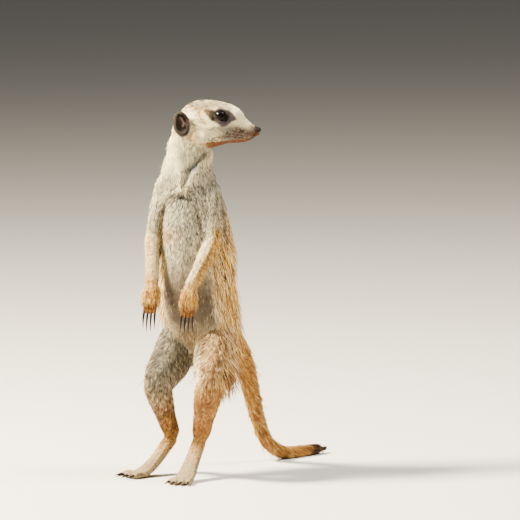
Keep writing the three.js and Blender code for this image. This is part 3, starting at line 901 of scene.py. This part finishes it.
golden = wires.blend(wires.steps(tone, 0.6, 0.85, 0.0, 0.6), golden, (0.15, 0.07, 0.026, 1))
colour = wires.blend(wires.mark("tan"), given["Pale"], golden)
for over in ("Grey", "Bare"):
    colour = wires.blend(wires.mark(over.lower()), colour, given[over])
# Ticked hairs: the darkest tones end black-brown and the palest silver, as on any agouti coat.
tip = wires.steps(along, 0.0, 0.4)
dark_tip = wires.math("MULTIPLY", tip, wires.steps(tone, 0.88, 0.94, 0.0, 0.92))
pale_tip = wires.math("MULTIPLY", tip, wires.steps(tone, 0.12, 0.06, 0.0, 0.8))
colour = wires.blend(dark_tip, colour, (0.04, 0.028, 0.02, 1))
colour = wires.blend(pale_tip, colour, (0.56, 0.44, 0.27, 1))
# The last layers hold markings and painted light: the reddish one also carries warm reflected light, the
# dark one painted shade, and the last one the ears' painted highlight.
for over in ("Russet", "Patch", "Dark", "Painted_highlight"):
    colour = wires.blend(wires.mark(over.lower()), colour, given[over])
# The roots lie in shade, and the tone goes up and down from lock to lock and from place to place.
shade = wires.steps(along, 0.0, 0.55, given["Root Shade"], 1.0)
shade = wires.math("MULTIPLY", shade, wires.steps(patchy, 0.3, 0.7, 0.86, 1.08))
uneven = wires.steps(tone, 0.15, 0.85, 1.0, -1.0)
uneven = wires.math("MULTIPLY", uneven, wires.steps(wires.mark("tan"), 0.0, 1.0, 0.26, 0.34))
shade = wires.math("MULTIPLY", shade, wires.math("ADD", uneven, 1.0))
wires.put(result["Color"], wires.blend(1.0, colour, shade, "MULTIPLY"))
coat_colours = wires.tree

wires, given, result = shader_group(
    "short hair grain", (("Scale", NUMBER, 900.0),), (("Height", NUMBER, None),)
)
wires.put(result["Height"], wires.speckle(given["Scale"], 3.0, (1.0, 1.0, 0.28)))
hair_grain = wires.tree


def finish(name, roughness, specular=0.3):
    """A material, the wiring of its nodes and the sockets of its surface."""
    material = bpy.data.materials.new(name)
    material.use_nodes = True
    surface = material.node_tree.nodes["Principled BSDF"].inputs
    surface["Roughness"].default_value = roughness
    surface["Specular IOR Level"].default_value = specular
    return material, Wiring(material.node_tree), surface


def dress(thing, material):
    """Gives a piece its material and smooth shading."""
    thing.data.materials.append(material)
    thing.data.polygons.foreach_set("use_smooth", np.ones(len(thing.data.polygons), dtype=bool))


skin_material, wires, surface = finish("skin under short hair", 0.78, 0.04)
wires.put(surface["Base Color"], wires.shared(coat_colours, "Color"))
wires.put(surface["Normal"], wires.relief(wires.shared(hair_grain, "Height"), 0.5, 0.0004))
dress(skin, skin_material)
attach(skin, "root")
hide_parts(*FLESH)


# ---------------------------------------------------------------- nose
# The bare moist pad at the end of the muzzle, a rounded cushion with two slit nostrils that open
# to the sides and a groove down its middle to the lip.
NOSE_RADII = (4.0, 4.1, 3.0)
NOSE_LIFT = (0, 0, 0.9)
BALL = {"u_segments": 48, "v_segments": 32}


def from_head(points):
    """Points given in the head's own frame, in millimetres, put in the part's frame."""
    return HEAD_AT + (np.asarray(points) * MM) @ HEAD_AXES.T


def hill(value, width):
    return math.exp(-((value / width) ** 2))


nose_pad = bmesh.new()
bmesh.ops.create_uvsphere(nose_pad, radius=1.0, **BALL)
places = []
for vert in nose_pad.verts:
    x, y, z = vert.co
    y = math.copysign(abs(y) ** 0.9, y)
    pit = hill(abs(y) - 0.62, 0.2) * hill(z + 0.12 + 0.35 * (abs(y) - 0.6), 0.13)
    comma = hill(abs(y) - 0.86, 0.16) * hill(z + 0.02, 0.1)
    groove = hill(y, 0.07) * hill(max(z - 0.25, 0.0), 0.2)
    x -= (0.42 * pit + 0.2 * comma + 0.09 * groove) * max(x, 0.0) ** 0.5
    places.append((x * (1.0 - 0.12 * max(-z, 0)), y, z))
nose_middle = on_head(middle("nose")) + NOSE_LIFT
for vert, place in zip(nose_pad.verts, from_head(np.array(places) * NOSE_RADII + nose_middle)):
    vert.co = place
bmesh.ops.recalc_face_normals(nose_pad, faces=nose_pad.faces)
nose = as_object("nose_pad", nose_pad)
nose_material, wires, surface = finish("moist nose", 0.5, 0.12)
nose_tint = wires.steps(wires.speckle(420.0), 0.35, 0.7)
nose_tint = wires.blend(nose_tint, (0.007, 0.004, 0.0035, 1), (0.018, 0.008, 0.006, 1))
wires.put(surface["Base Color"], nose_tint)
wires.put(surface["Normal"], wires.relief(wires.cells(2100.0), 0.5, 0.00015))
dress(nose, nose_material)
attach(nose, "root")
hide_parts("nose")


# ---------------------------------------------------------------- eyes
# Glossy dark balls under a clear cornea. The iris is dark brown and the pupil a wide oval, and
# they sit in the lids as deep as the solids have them.
BEHIND = 9.0  # a distance from the pupil beyond every ring of the iris
CORNEA = 0.35  # how far it stands out
eye_material, wires, surface = finish("dark eye", 0.06, 0.06)
iris = wires.steps(wires.speckle(1500.0, 3.0), 0.35, 0.7)
iris = wires.blend(iris, (0.002, 0.0014, 0.0012, 1), (0.005, 0.003, 0.002, 1))
iris = wires.blend(wires.steps(wires.mark("pupil"), 1.5, 1.25), iris, (0.002, 0.002, 0.002, 1))
iris = wires.blend(wires.steps(wires.mark("from_middle"), 3.1, 3.5), iris, (0.006, 0.004, 0.0035, 1))
wires.put(surface["Base Color"], iris)

for side, outside in (("left", 1.0), ("right", -1.0)):
    mirror = np.array((1.0, outside, 1.0))
    ball = bmesh.new()
    bmesh.ops.create_uvsphere(ball, radius=EYE_RADIUS, **BALL)
    axes = np.stack((EYE_TOWARDS_NOSE, EYE_UPWARDS, EYE_GAZE), axis=1) * mirror[:, None]
    x, y, z = spots = np.array([v.co[:] for v in ball.verts]).T
    bulge = CORNEA * smooth_step(52, 20, np.degrees(np.arctan2(np.hypot(x, y), z)))
    looked = (spots * (1 + bulge / EYE_RADIUS)).T
    for vert, spot in zip(ball.verts, from_head(EYE_AT * mirror + looked @ axes.T)):
        vert.co = spot
    bmesh.ops.recalc_face_normals(ball, faces=ball.faces)
    eye = as_object(f"eyeball_{side}", ball)
    keep_marks(eye, {
        "from_middle": np.where(z > 0, np.hypot(x, y), BEHIND),
        "pupil": np.where(z > 0, np.hypot(x / 1.25, y / 0.8), BEHIND),
    })
    dress(eye, eye_material)
    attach(eye, "root")
    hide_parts(f"eye_{side}")


# ---------------------------------------------------------------- claws
# Four dark horn claws on each paw, long and gently curved on the hands and short on the feet. Each
# is a sharp cone, flattened at its sides, that grows out of the end of its finger.
CONE = {"u_segments": 12, "v_segments": 18}
ROOTED = 0.2  # how far back a claw reaches into its finger, as a share of its length
FLATTENED = 0.78

claw_material, wires, surface = finish("dark horn", 0.4, 0.14)
streak = wires.speckle(900.0, 3.0, (1.0, 1.0, 0.2))
horn = wires.blend(wires.steps(streak, 0.3, 0.7), (0.006, 0.0045, 0.004, 1), (0.024, 0.016, 0.012, 1))
wires.put(surface["Base Color"], horn)
wires.put(surface["Normal"], wires.relief(streak, 0.3, 0.0001))


def claw_line(node, palm):
    """A claw's middle line, as a curve in its own share of length, and its thickness at the root."""
    made = merged_copy(node)
    spots = np.array([v.co[:] for v in made.verts])
    made.free()
    axis = np.linalg.svd(spots - spots.mean(axis=0))[2][0]
    axis *= np.sign(axis @ (spots.mean(axis=0) - middle(palm)))
    share = spots @ axis
    share = (share - share.min()) / np.ptp(share)
    line = np.polyfit(share, spots, 2)
    off = np.linalg.norm(spots - np.stack((share ** 2, share, share ** 0), axis=1) @ line, axis=1)
    return line, off[share < 0.5].max()


for paw, limb in (("foreclaw", "hand"), ("hindclaw", "foot")):
    for side in SIDES:
        names = [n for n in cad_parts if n.startswith(f"{paw}_{side}_")]
        claws = bmesh.new()
        for name in names:
            line, thick = claw_line(name, f"{limb}_{side}")
            for vert in bmesh.ops.create_uvsphere(claws, radius=1.0, **CONE)["verts"]:
                x, y, z = vert.co
                ring = math.hypot(x, y)
                share = (1 + ROOTED) * (z + 1) / 2 - ROOTED
                forward, buried = max(share, 0), max(-share / ROOTED, 0)
                way = unit(2 * forward * line[0] + line[1])
                curl = unit(line[0] - (line[0] @ way) * way)
                size = thick * min(1.0, ring * 3) * max(1 - share, 0) ** 0.7 * (1 - 0.25 * buried)
                size /= max(ring, 1e-6)
                spot = forward ** 2 * line[0] + share * line[1] + line[2]
                vert.co = spot + x * size * FLATTENED * np.cross(way, curl) + y * size * curl
        bmesh.ops.recalc_face_normals(claws, faces=claws.faces)
        thing = as_object(f"{paw}s_{side}", claws)
        dress(thing, claw_material)
        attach(thing, "root")
        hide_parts(*names)


# ---------------------------------------------------------------- coat
# Short coarse hair over the whole body in fine tufts that lie along it, from the nose back over
# the head, down the trunk and out along the limbs and tail. It is longest on the back and rump
# and shortest on the face and feet.
COAT = {"coat_head": HEAD_NODES, **{"coat_" + n.split("_")[-1]: (n,) for n in TRUNK_NODES}}
for limb, parts in (("arm", ARM_PARTS), ("leg", LEG_PARTS)):
    for side in SIDES:
        COAT[f"coat_{limb}_{side}"] = tuple(f"{part}_{side}" for part in parts)
COAT["coat_tail"] = TAIL_NODES
MOST_TRIANGLES = 190000  # in one piece of coat
THICKNESS = 14.0  # tufts on a square millimetre of hair a millimetre long
LONG_TUFT = 8.0  # a longer one has two rings of corners, and a shorter one has one
LONG_HAIR = 7.0  # where most tufts are long ones
TUFT_TRIANGLES = (6, 12)
LOCK_EVERY = 6  # tufts to a lock
GROUND = 0.15 * MM  # how near the ground the lowest hair lies
DOWN = np.array((0.0, 0.0, -1.0))
BACK = np.array((0.0, 1.0, 0.0))


def between(start, end):
    return unit(middle(end) - middle(start))


def flattened(rows, out):
    """Directions with what points off the skin taken out of them."""
    return rows - np.einsum("ij,ij->i", rows, out)[:, None] * out


LIE = {
    "head": -HEAD_FRONT, "jaw": -HEAD_FRONT + 0.4 * DOWN, "neck": DOWN, "trunk_chest": DOWN,
    "trunk_belly": DOWN, "trunk_hips": DOWN, "tail_root": between("tail_root", "tail_middle"),
    "tail_middle": between("tail_middle", "tail_tip"), "tail_tip": between("tail_middle", "tail_tip"),
}
for side, outside in (("left", 1.0), ("right", -1.0)):
    outside = np.array((outside, 0.0, 0.0))
    for part, end, more in (
        ("arm_upper", f"arm_fore_{side}", 0.35 * BACK),
        ("arm_fore", f"hand_{side}", 0.0),
        ("hand", f"foreclaw_{side}_2", 0.0),
        ("leg_thigh", f"leg_shin_{side}", 0.45 * BACK),
        ("leg_shin", f"foot_{side}", 0.2 * BACK),
        ("foot", f"hindclaw_{side}_2", 0.0),
    ):
        LIE[f"{part}_{side}"] = between(f"{part}_{side}", end) + more
    LIE[f"arm_fore_{side}"] = 0.8 * LIE[f"arm_fore_{side}"] + 0.7 * outside + 0.3 * BACK
    LIE[f"ear_{side}"] = -HEAD_FRONT + 0.4 * HEAD_UP
lie = np.array([LIE[n] for n in FLESH])[owner]
# It parts round the whorl on the chest, and fans out over the ears.
from_whorl = np.zeros_like(lie)
from_whorl[:, [0, 2]] = front - WHORL
lie += 1.3 * (by_spot(front, WHORL, 9.0) * trunk_share)[:, None] * unit(from_whorl)
lie[:, 0] += 0.35 * np.sign(leftward) * trunk_share * smooth_step(0.2, 0.8, np.abs(leftward))
for side in SIDES:
    lie += 1.6 * is_node[f"ear_{side}"][:, None] * unit(shape.points - middle(f"ear_{side}"))
lie = unit(flattened(shape.spread(lie, 24), NORMALS))

on_flank = smooth_step(0.6, 0.9, np.abs(sideways)) * below_neck * at_height(0, -50)
behind_thigh = smooth_step(0.1, 0.8, leftward + 0.5 * backish) * left_thigh
length = trait("length", 20)
length *= 1 - 0.45 * smooth_step(-6, 12, ahead) * face_share - 0.3 * to_nose
length += 6.0 * backward * below_neck
length += (4.5 * backward + 2.0 * smooth_step(0.2, 0.9, leftward)) * thigh_share
length += 7.0 * on_flank
length += 4.0 * by_spot(front, (-2.5, -124), 6.0)
length += 9.0 * behind_thigh * bump(high_up + 118, 18)
length *= 1 - 0.35 * right_thigh * right_inside
length *= 1 - 0.6 * rim * head_share
length *= 1 - 0.68 * finger - 0.4 * toe
length *= 1 - 0.45 * at_height(-158, -182) * both("leg_shin")
length *= 1 + 0.3 * at_height(-200, -184) * both("foot")
for path in ARM_CREASES:
    length *= 1 - 0.5 * by_line(front, path, 2.5) * (high_up > -60) * (backish < 0.3)
# Where the hair stands off and hangs loose: on the hands, the flanks and behind the left thigh.
loose = 0.02 + 0.35 * both("hand") * (1 - finger)
loose += 0.06 * share_of("arm_fore_left", "arm_fore_right", "neck") + 0.08 * flank * below_neck
loose += 0.5 * behind_thigh * bump(high_up + 122, 14)
loose *= 1 - face_share

spots = shape.points
skin.data.calc_loop_triangles()
corners = shape.read(skin.data.loop_triangles, "vertices", 3, np.int64)
first, second, third = (spots[corners[:, k]] for k in range(3))
areas = np.linalg.norm(np.cross(second - first, third - first), axis=1) / 2 / MM ** 2
skin_tree = BVHTree.FromPolygons(spots.tolist(), corners.tolist())
triangle_normals = unit(NORMALS[corners].mean(axis=1))


def onto_skin(places):
    """The nearest places on the skin, its normals there and the triangles under them."""
    found = [skin_tree.find_nearest(place) for place in places.tolist()]
    under = np.array([f[2] for f in found])
    return np.array([f[0][:] for f in found]), triangle_normals[under], under


def mesh_of(name, points, triangles):
    data = bpy.data.meshes.new(name)
    data.vertices.add(len(points))
    data.vertices.foreach_set("co", points.ravel())
    data.loops.add(len(triangles) * 3)
    data.loops.foreach_set("vertex_index", triangles.ravel().astype(np.int32))
    data.polygons.add(len(triangles))
    data.polygons.foreach_set("loop_start", np.arange(0, len(triangles) * 3, 3, dtype=np.int32))
    data.update()
    return add(name, data)


def unwrapped(triangles):
    """The skin's own triangles laid out flat: three corners' places for each."""
    used, renumbered = np.unique(triangles, return_inverse=True)
    patch = mesh_of("patch", spots[used], renumbered.reshape(-1, 3))
    bpy.context.view_layer.objects.active = patch
    patch.select_set(True)
    bpy.ops.object.mode_set(mode="EDIT")
    bpy.ops.mesh.select_all(action="SELECT")
    bpy.ops.uv.smart_project(angle_limit=math.radians(66), island_margin=0.004)
    bpy.ops.object.mode_set(mode="OBJECT")
    data = patch.data
    flat = shape.read(data.uv_layers.active.data, "uv", 2, float)
    bpy.data.objects.remove(patch)
    bpy.data.meshes.remove(data)
    return flat.reshape(-1, 3, 2)


def tuft_mesh(rings):
    """The triangles of one tuft: a root, three-cornered rings and a tip."""
    around = ((0, 1), (1, 2), (2, 0))
    last, tip = 3 * rings - 2, 3 * rings + 1
    made = [(0, 1 + b, 1 + a) for a, b in around]
    for low in range(1, last, 3):
        for a, b in around:
            made += [(low + a, low + b, low + 3 + b), (low + a, low + 3 + b, low + 3 + a)]
    made += [(last + a, last + b, tip) for a, b in around]
    return np.array(made)


# A tuft's rings: how far along it each lies, its share of the tuft's height and of its width.
RINGS = {1: ((0.42, 0.72, 1.0),), 2: ((0.3, 0.62, 1.0), (0.68, 0.85, 0.8))}
RING_CORNERS = ((1.0, 0.0), (0.0, 0.55), (-1.0, 0.0))  # to each side and off the skin
ROOT_DEPTH = 0.25 * MM
SAG = 0.1  # of a tuft that hangs loose, as a share of its length
PATCH = 0.0015  # half a tuft's patch on its flat map


def grow(chance, root, out, way, long, wide, high, pull, hangs, rings):
    """The points, normals, shares of the length and flat offsets of tufts, and what lies under them."""
    side = unit(np.cross(out, way))
    bend = chance.normal(0, 0.10, len(root))[:, None]
    long, wide, high, hangs = (field[:, None] for field in (long, wide, high, hangs))

    def lay(t, rise):
        place = root + way * (long * t) + side * bend * (long * t * t) + pull * t ** 1.5
        free = place + out * (high * t) + DOWN * (SAG * long * t * t)
        place, up, under = onto_skin(place)
        return np.where(hangs, free, place + up * (high * rise)), up, under

    parts, normals, ups, flats = [root - out * ROOT_DEPTH], [out], [0.0], [(0.0, -PATCH)]
    for t, rise, swell in RINGS[rings]:
        place, up, under = lay(t, rise)
        for across, off in RING_CORNERS:
            parts.append(place + side * (0.5 * across * swell * wide) + up * (off * swell * wide))
            normals.append(unit(up + side * 0.55 * across))
            ups.append(t)
            flats.append((across * PATCH * 0.9, (2 * t - 1) * PATCH))
    place, up, _ = lay(1.0, 1.0)
    parts.append(place)
    normals.append(unit(up + 0.25 * way))
    ups.append(1.0)
    flats.append((0.0, PATCH))
    return np.stack(parts, axis=1), np.stack(normals, axis=1), np.array(ups), np.array(flats), under


coat_material, wires, surface = finish("coat hair", 0.6, 0.1)
wires.put(surface["Base Color"], wires.shared(coat_colours, "Color"))

# How much the markings' edges are broken up, lock by lock.
BROKEN_UP = {"tan": 1.6, "grey": 1.6, "russet": 3.0, "dark": 3.0}
piece_of = {n: number for number, nodes in enumerate(COAT.values()) for n in nodes}
triangle_piece = np.array([piece_of[n] for n in FLESH])[owner[corners[:, 0]]]
in_eye = ((around_lid < 1.1) & (by_lid > 0.3))[corners].any(axis=1)
root_length = length[corners].mean(axis=1)
crowding = np.where(in_eye, 0.0, THICKNESS / root_length ** 0.85)
chance = np.random.default_rng(7)
for number, name in enumerate(COAT):
    # The tufts stand evenly spaced along the triangles' list, as thick as each triangle's own hair.
    chosen = np.flatnonzero(triangle_piece == number)
    weight = (areas * crowding)[chosen]
    cost = np.where(root_length[chosen] > LONG_HAIR, TUFT_TRIANGLES[1], TUFT_TRIANGLES[0])
    weight *= min(1.0, MOST_TRIANGLES / (weight * cost).sum())
    ladder = np.cumsum(weight)
    count = int(ladder[-1])
    picked = np.minimum(np.searchsorted(ladder, np.arange(count) + chance.random(count)), len(chosen) - 1)
    flat = unwrapped(corners[chosen])
    a, b = chance.random((2, count))
    a, b = np.where(a + b > 1, 1 - a, a), np.where(a + b > 1, 1 - b, b)
    mix = np.stack((1 - a - b, a, b), axis=1)
    ends = corners[chosen[picked]]

    def at_root(field):
        return np.einsum("nk,nk...->n...", mix, field[ends])

    root, out, way = at_root(spots), unit(at_root(NORMALS)), unit(at_root(lie))
    long = at_root(length) * chance.uniform(0.75, 1.2, count)
    high = at_root(depth) * chance.uniform(0.3, 1.0, count)
    high *= np.where(chance.random(count) < 0.07, 1.7, 1.0)
    wide = np.clip(0.068 * long, 0.14, 0.55) * chance.uniform(0.8, 1.25, count)
    # A few stand proud of the rest, and the ticked ones lie uppermost and are a little coarser.
    tick = chance.random(count) < np.maximum(0.095 * at_root(ticks), 0.5 * at_root(dark_streak))
    silver = ~tick & (chance.random(count) < 0.09 * at_root(silvered))
    long *= np.where(tick | silver, 1.2, 1.0)
    wide = np.where(tick, np.maximum(1.2 * wide, np.clip(0.11 * long, 0.14, 0.46)), wide)
    high = np.where(tick | silver, at_root(depth) * chance.uniform(0.9, 1.15, count), high)
    stray = chance.random(count) < at_root(loose)
    high += stray * chance.uniform(0.05, 0.4, count) * long
    long *= np.where(stray, 1.3, 1.0)
    # Tufts lean together in small locks, each with a tone of its own.
    lock_roots = root[::LOCK_EVERY]
    locks = KDTree(len(lock_roots))
    for index, spot in enumerate(lock_roots):
        locks.insert(spot, index)
    locks.balance()
    lock = np.array([locks.find(spot)[1] for spot in root.tolist()])
    lock_turn = chance.normal(0, 0.13, len(lock_roots))[lock]
    lock_tone = chance.random(len(lock_roots))[lock]
    pull = flattened(lock_roots[lock] - root, out) * np.clip(0.05 * long - 0.06, 0, 0.6)[:, None]
    way = unit(way + np.cross(out, way) * (lock_turn + chance.normal(0, 0.09, count))[:, None])
    marks_of_lock = chance.random(len(lock_roots))[lock] - 0.5
    tone = 0.15 + 0.7 * np.clip(0.7 * lock_tone + 0.3 * chance.random(count), 0, 1)
    tone = np.where(tick, 1.0, np.where(silver, 0.0, tone))
    flat_root = np.einsum("nk,nkj->nj", mix, flat[picked])

    rows = {what: [] for what in ("points", "normals", "faces", "flats", "along", "tone", *MARKS)}
    done = 0
    for rings, these in ((1, long <= LONG_TUFT), (2, long > LONG_TUFT)):
        if not these.any():
            continue
        points, normals, ups, offsets, under = grow(
            chance, root[these], out[these], way[these], long[these] * MM, wide[these] * MM,
            high[these] * MM, pull[these], stray[these], rings,
        )
        tufts, each = points.shape[:2]
        firsts = done + each * np.arange(tufts)
        done += tufts * each
        rows["points"].append(points.reshape(-1, 3))
        rows["normals"].append(normals.reshape(-1, 3))
        rows["faces"].append((tuft_mesh(rings)[None] + firsts[:, None, None]).reshape(-1, 3))
        rows["flats"].append((offsets[None] + flat_root[these][:, None, :]).reshape(-1, 2))
        rows["along"].append(np.tile(ups, tufts))
        rows["tone"].append(np.repeat(tone[these], each))
        for mark, field in MARKS.items():
            # A tuft takes its markings from the skin under its middle.
            found = field[corners[under]].mean(axis=1)
            found = found + BROKEN_UP.get(mark, 0.0) * marks_of_lock[these] * found * (1 - found)
            rows[mark].append(np.repeat(np.clip(found, 0, 1), each))
    rows = {what: np.concatenate(parts) for what, parts in rows.items()}
    # Hair that reaches the ground spreads out over it.
    points, height = rows["points"], rows["points"][:, 2]
    points[:, 2] = np.where(height < GROUND, GROUND * (0.6 + 0.4 * np.exp(height / MM)), height)
    coat = mesh_of(name, points, rows["faces"])
    dress(coat, coat_material)
    keep_marks(coat, {mark: rows[mark] for mark in (*MARKS, "along", "tone")})
    shading = coat.data.attributes.new("custom_normal", "FLOAT_VECTOR", "POINT")
    shading.data.foreach_set("vector", rows["normals"].astype(np.float32).ravel())
    layer = coat.data.uv_layers.new(name="OFBake")
    layer.data.foreach_set("uv", rows["flats"][rows["faces"].ravel()].astype(np.float32).ravel())
    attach(coat, "root")


# ---------------------------------------------------------------- whiskers
# Stiff tapering hairs from the pits of the muzzle, the brows and the cheeks, swept out and back.
WHISKER_SIDES, WHISKER_STEPS = 5, 9
hairs = [  # where they grow, which way they point and how long they are
    (pit, (-0.15 - 0.12 * (4 - step), 1.0, -0.55 - 0.2 * row), 9 + 3.6 * (4 - step))
    for row, step, pit in PITS
]
hairs += [
    ((19.0, 14.5), (-0.4, 0.7, 0.9), 9.0),
    ((21.0, 14.0), (-0.2, 0.6, 0.8), 7.0),
    ((8.0, -9.5), (-0.5, 1.0, -0.8), 10.0),
]
tube = []
for low in range(0, (WHISKER_STEPS - 1) * WHISKER_SIDES, WHISKER_SIDES):
    for k in range(WHISKER_SIDES):
        a, b = low + k, low + (k + 1) % WHISKER_SIDES
        tube += [(a, b, b + WHISKER_SIDES), (a, b + WHISKER_SIDES, a + WHISKER_SIDES)]
last = (WHISKER_STEPS - 1) * WHISKER_SIDES
for k in range(1, WHISKER_SIDES - 1):
    tube += [(0, k + 1, k), (last, last + k, last + k + 1)]
t = np.linspace(0, 1, WHISKER_STEPS)[:, None]
turns = np.linspace(0, 2 * math.pi, WHISKER_SIDES, endpoint=False)[:, None]
whisker_points = []
for outside in (-1.0, 1.0):
    for (ahead, above), way, reach in hairs:
        start = from_head((ahead, outside * 30.0, above))
        met = skin_tree.ray_cast(Vector(start), Vector(HEAD_AXES @ (0.0, -outside, 0.0)))[0]
        if met is None:
            continue
        way = unit(HEAD_AXES @ (np.array(way) * (1, outside, 1)))
        across = unit(np.cross(way, HEAD_UP))
        middle_line = np.array(met) + way * (reach * t - 0.6) * MM
        middle_line += (0.16 * DOWN - 0.12 * HEAD_FRONT) * (reach * MM * t * t)
        ring = np.cos(turns) * across + np.sin(turns) * np.cross(across, way)
        radius = MM * (0.07 * (1 - t) + 0.012)
        whisker_points.append((middle_line[:, None] + radius[:, None] * ring[None]).reshape(-1, 3))
whisker_faces = [np.array(tube) + k * WHISKER_STEPS * WHISKER_SIDES for k in range(len(whisker_points))]
whiskers = mesh_of("whiskers", np.concatenate(whisker_points), np.concatenate(whisker_faces))
whisker_material, wires, surface = finish("whisker", 0.4, 0.4)
whisker_tint = wires.steps(wires.speckle(300.0), 0.4, 0.6)
wires.put(surface["Base Color"], wires.blend(whisker_tint, (0.05, 0.035, 0.025, 1), (0.16, 0.11, 0.075, 1)))
dress(whiskers, whisker_material)
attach(whiskers, "root")
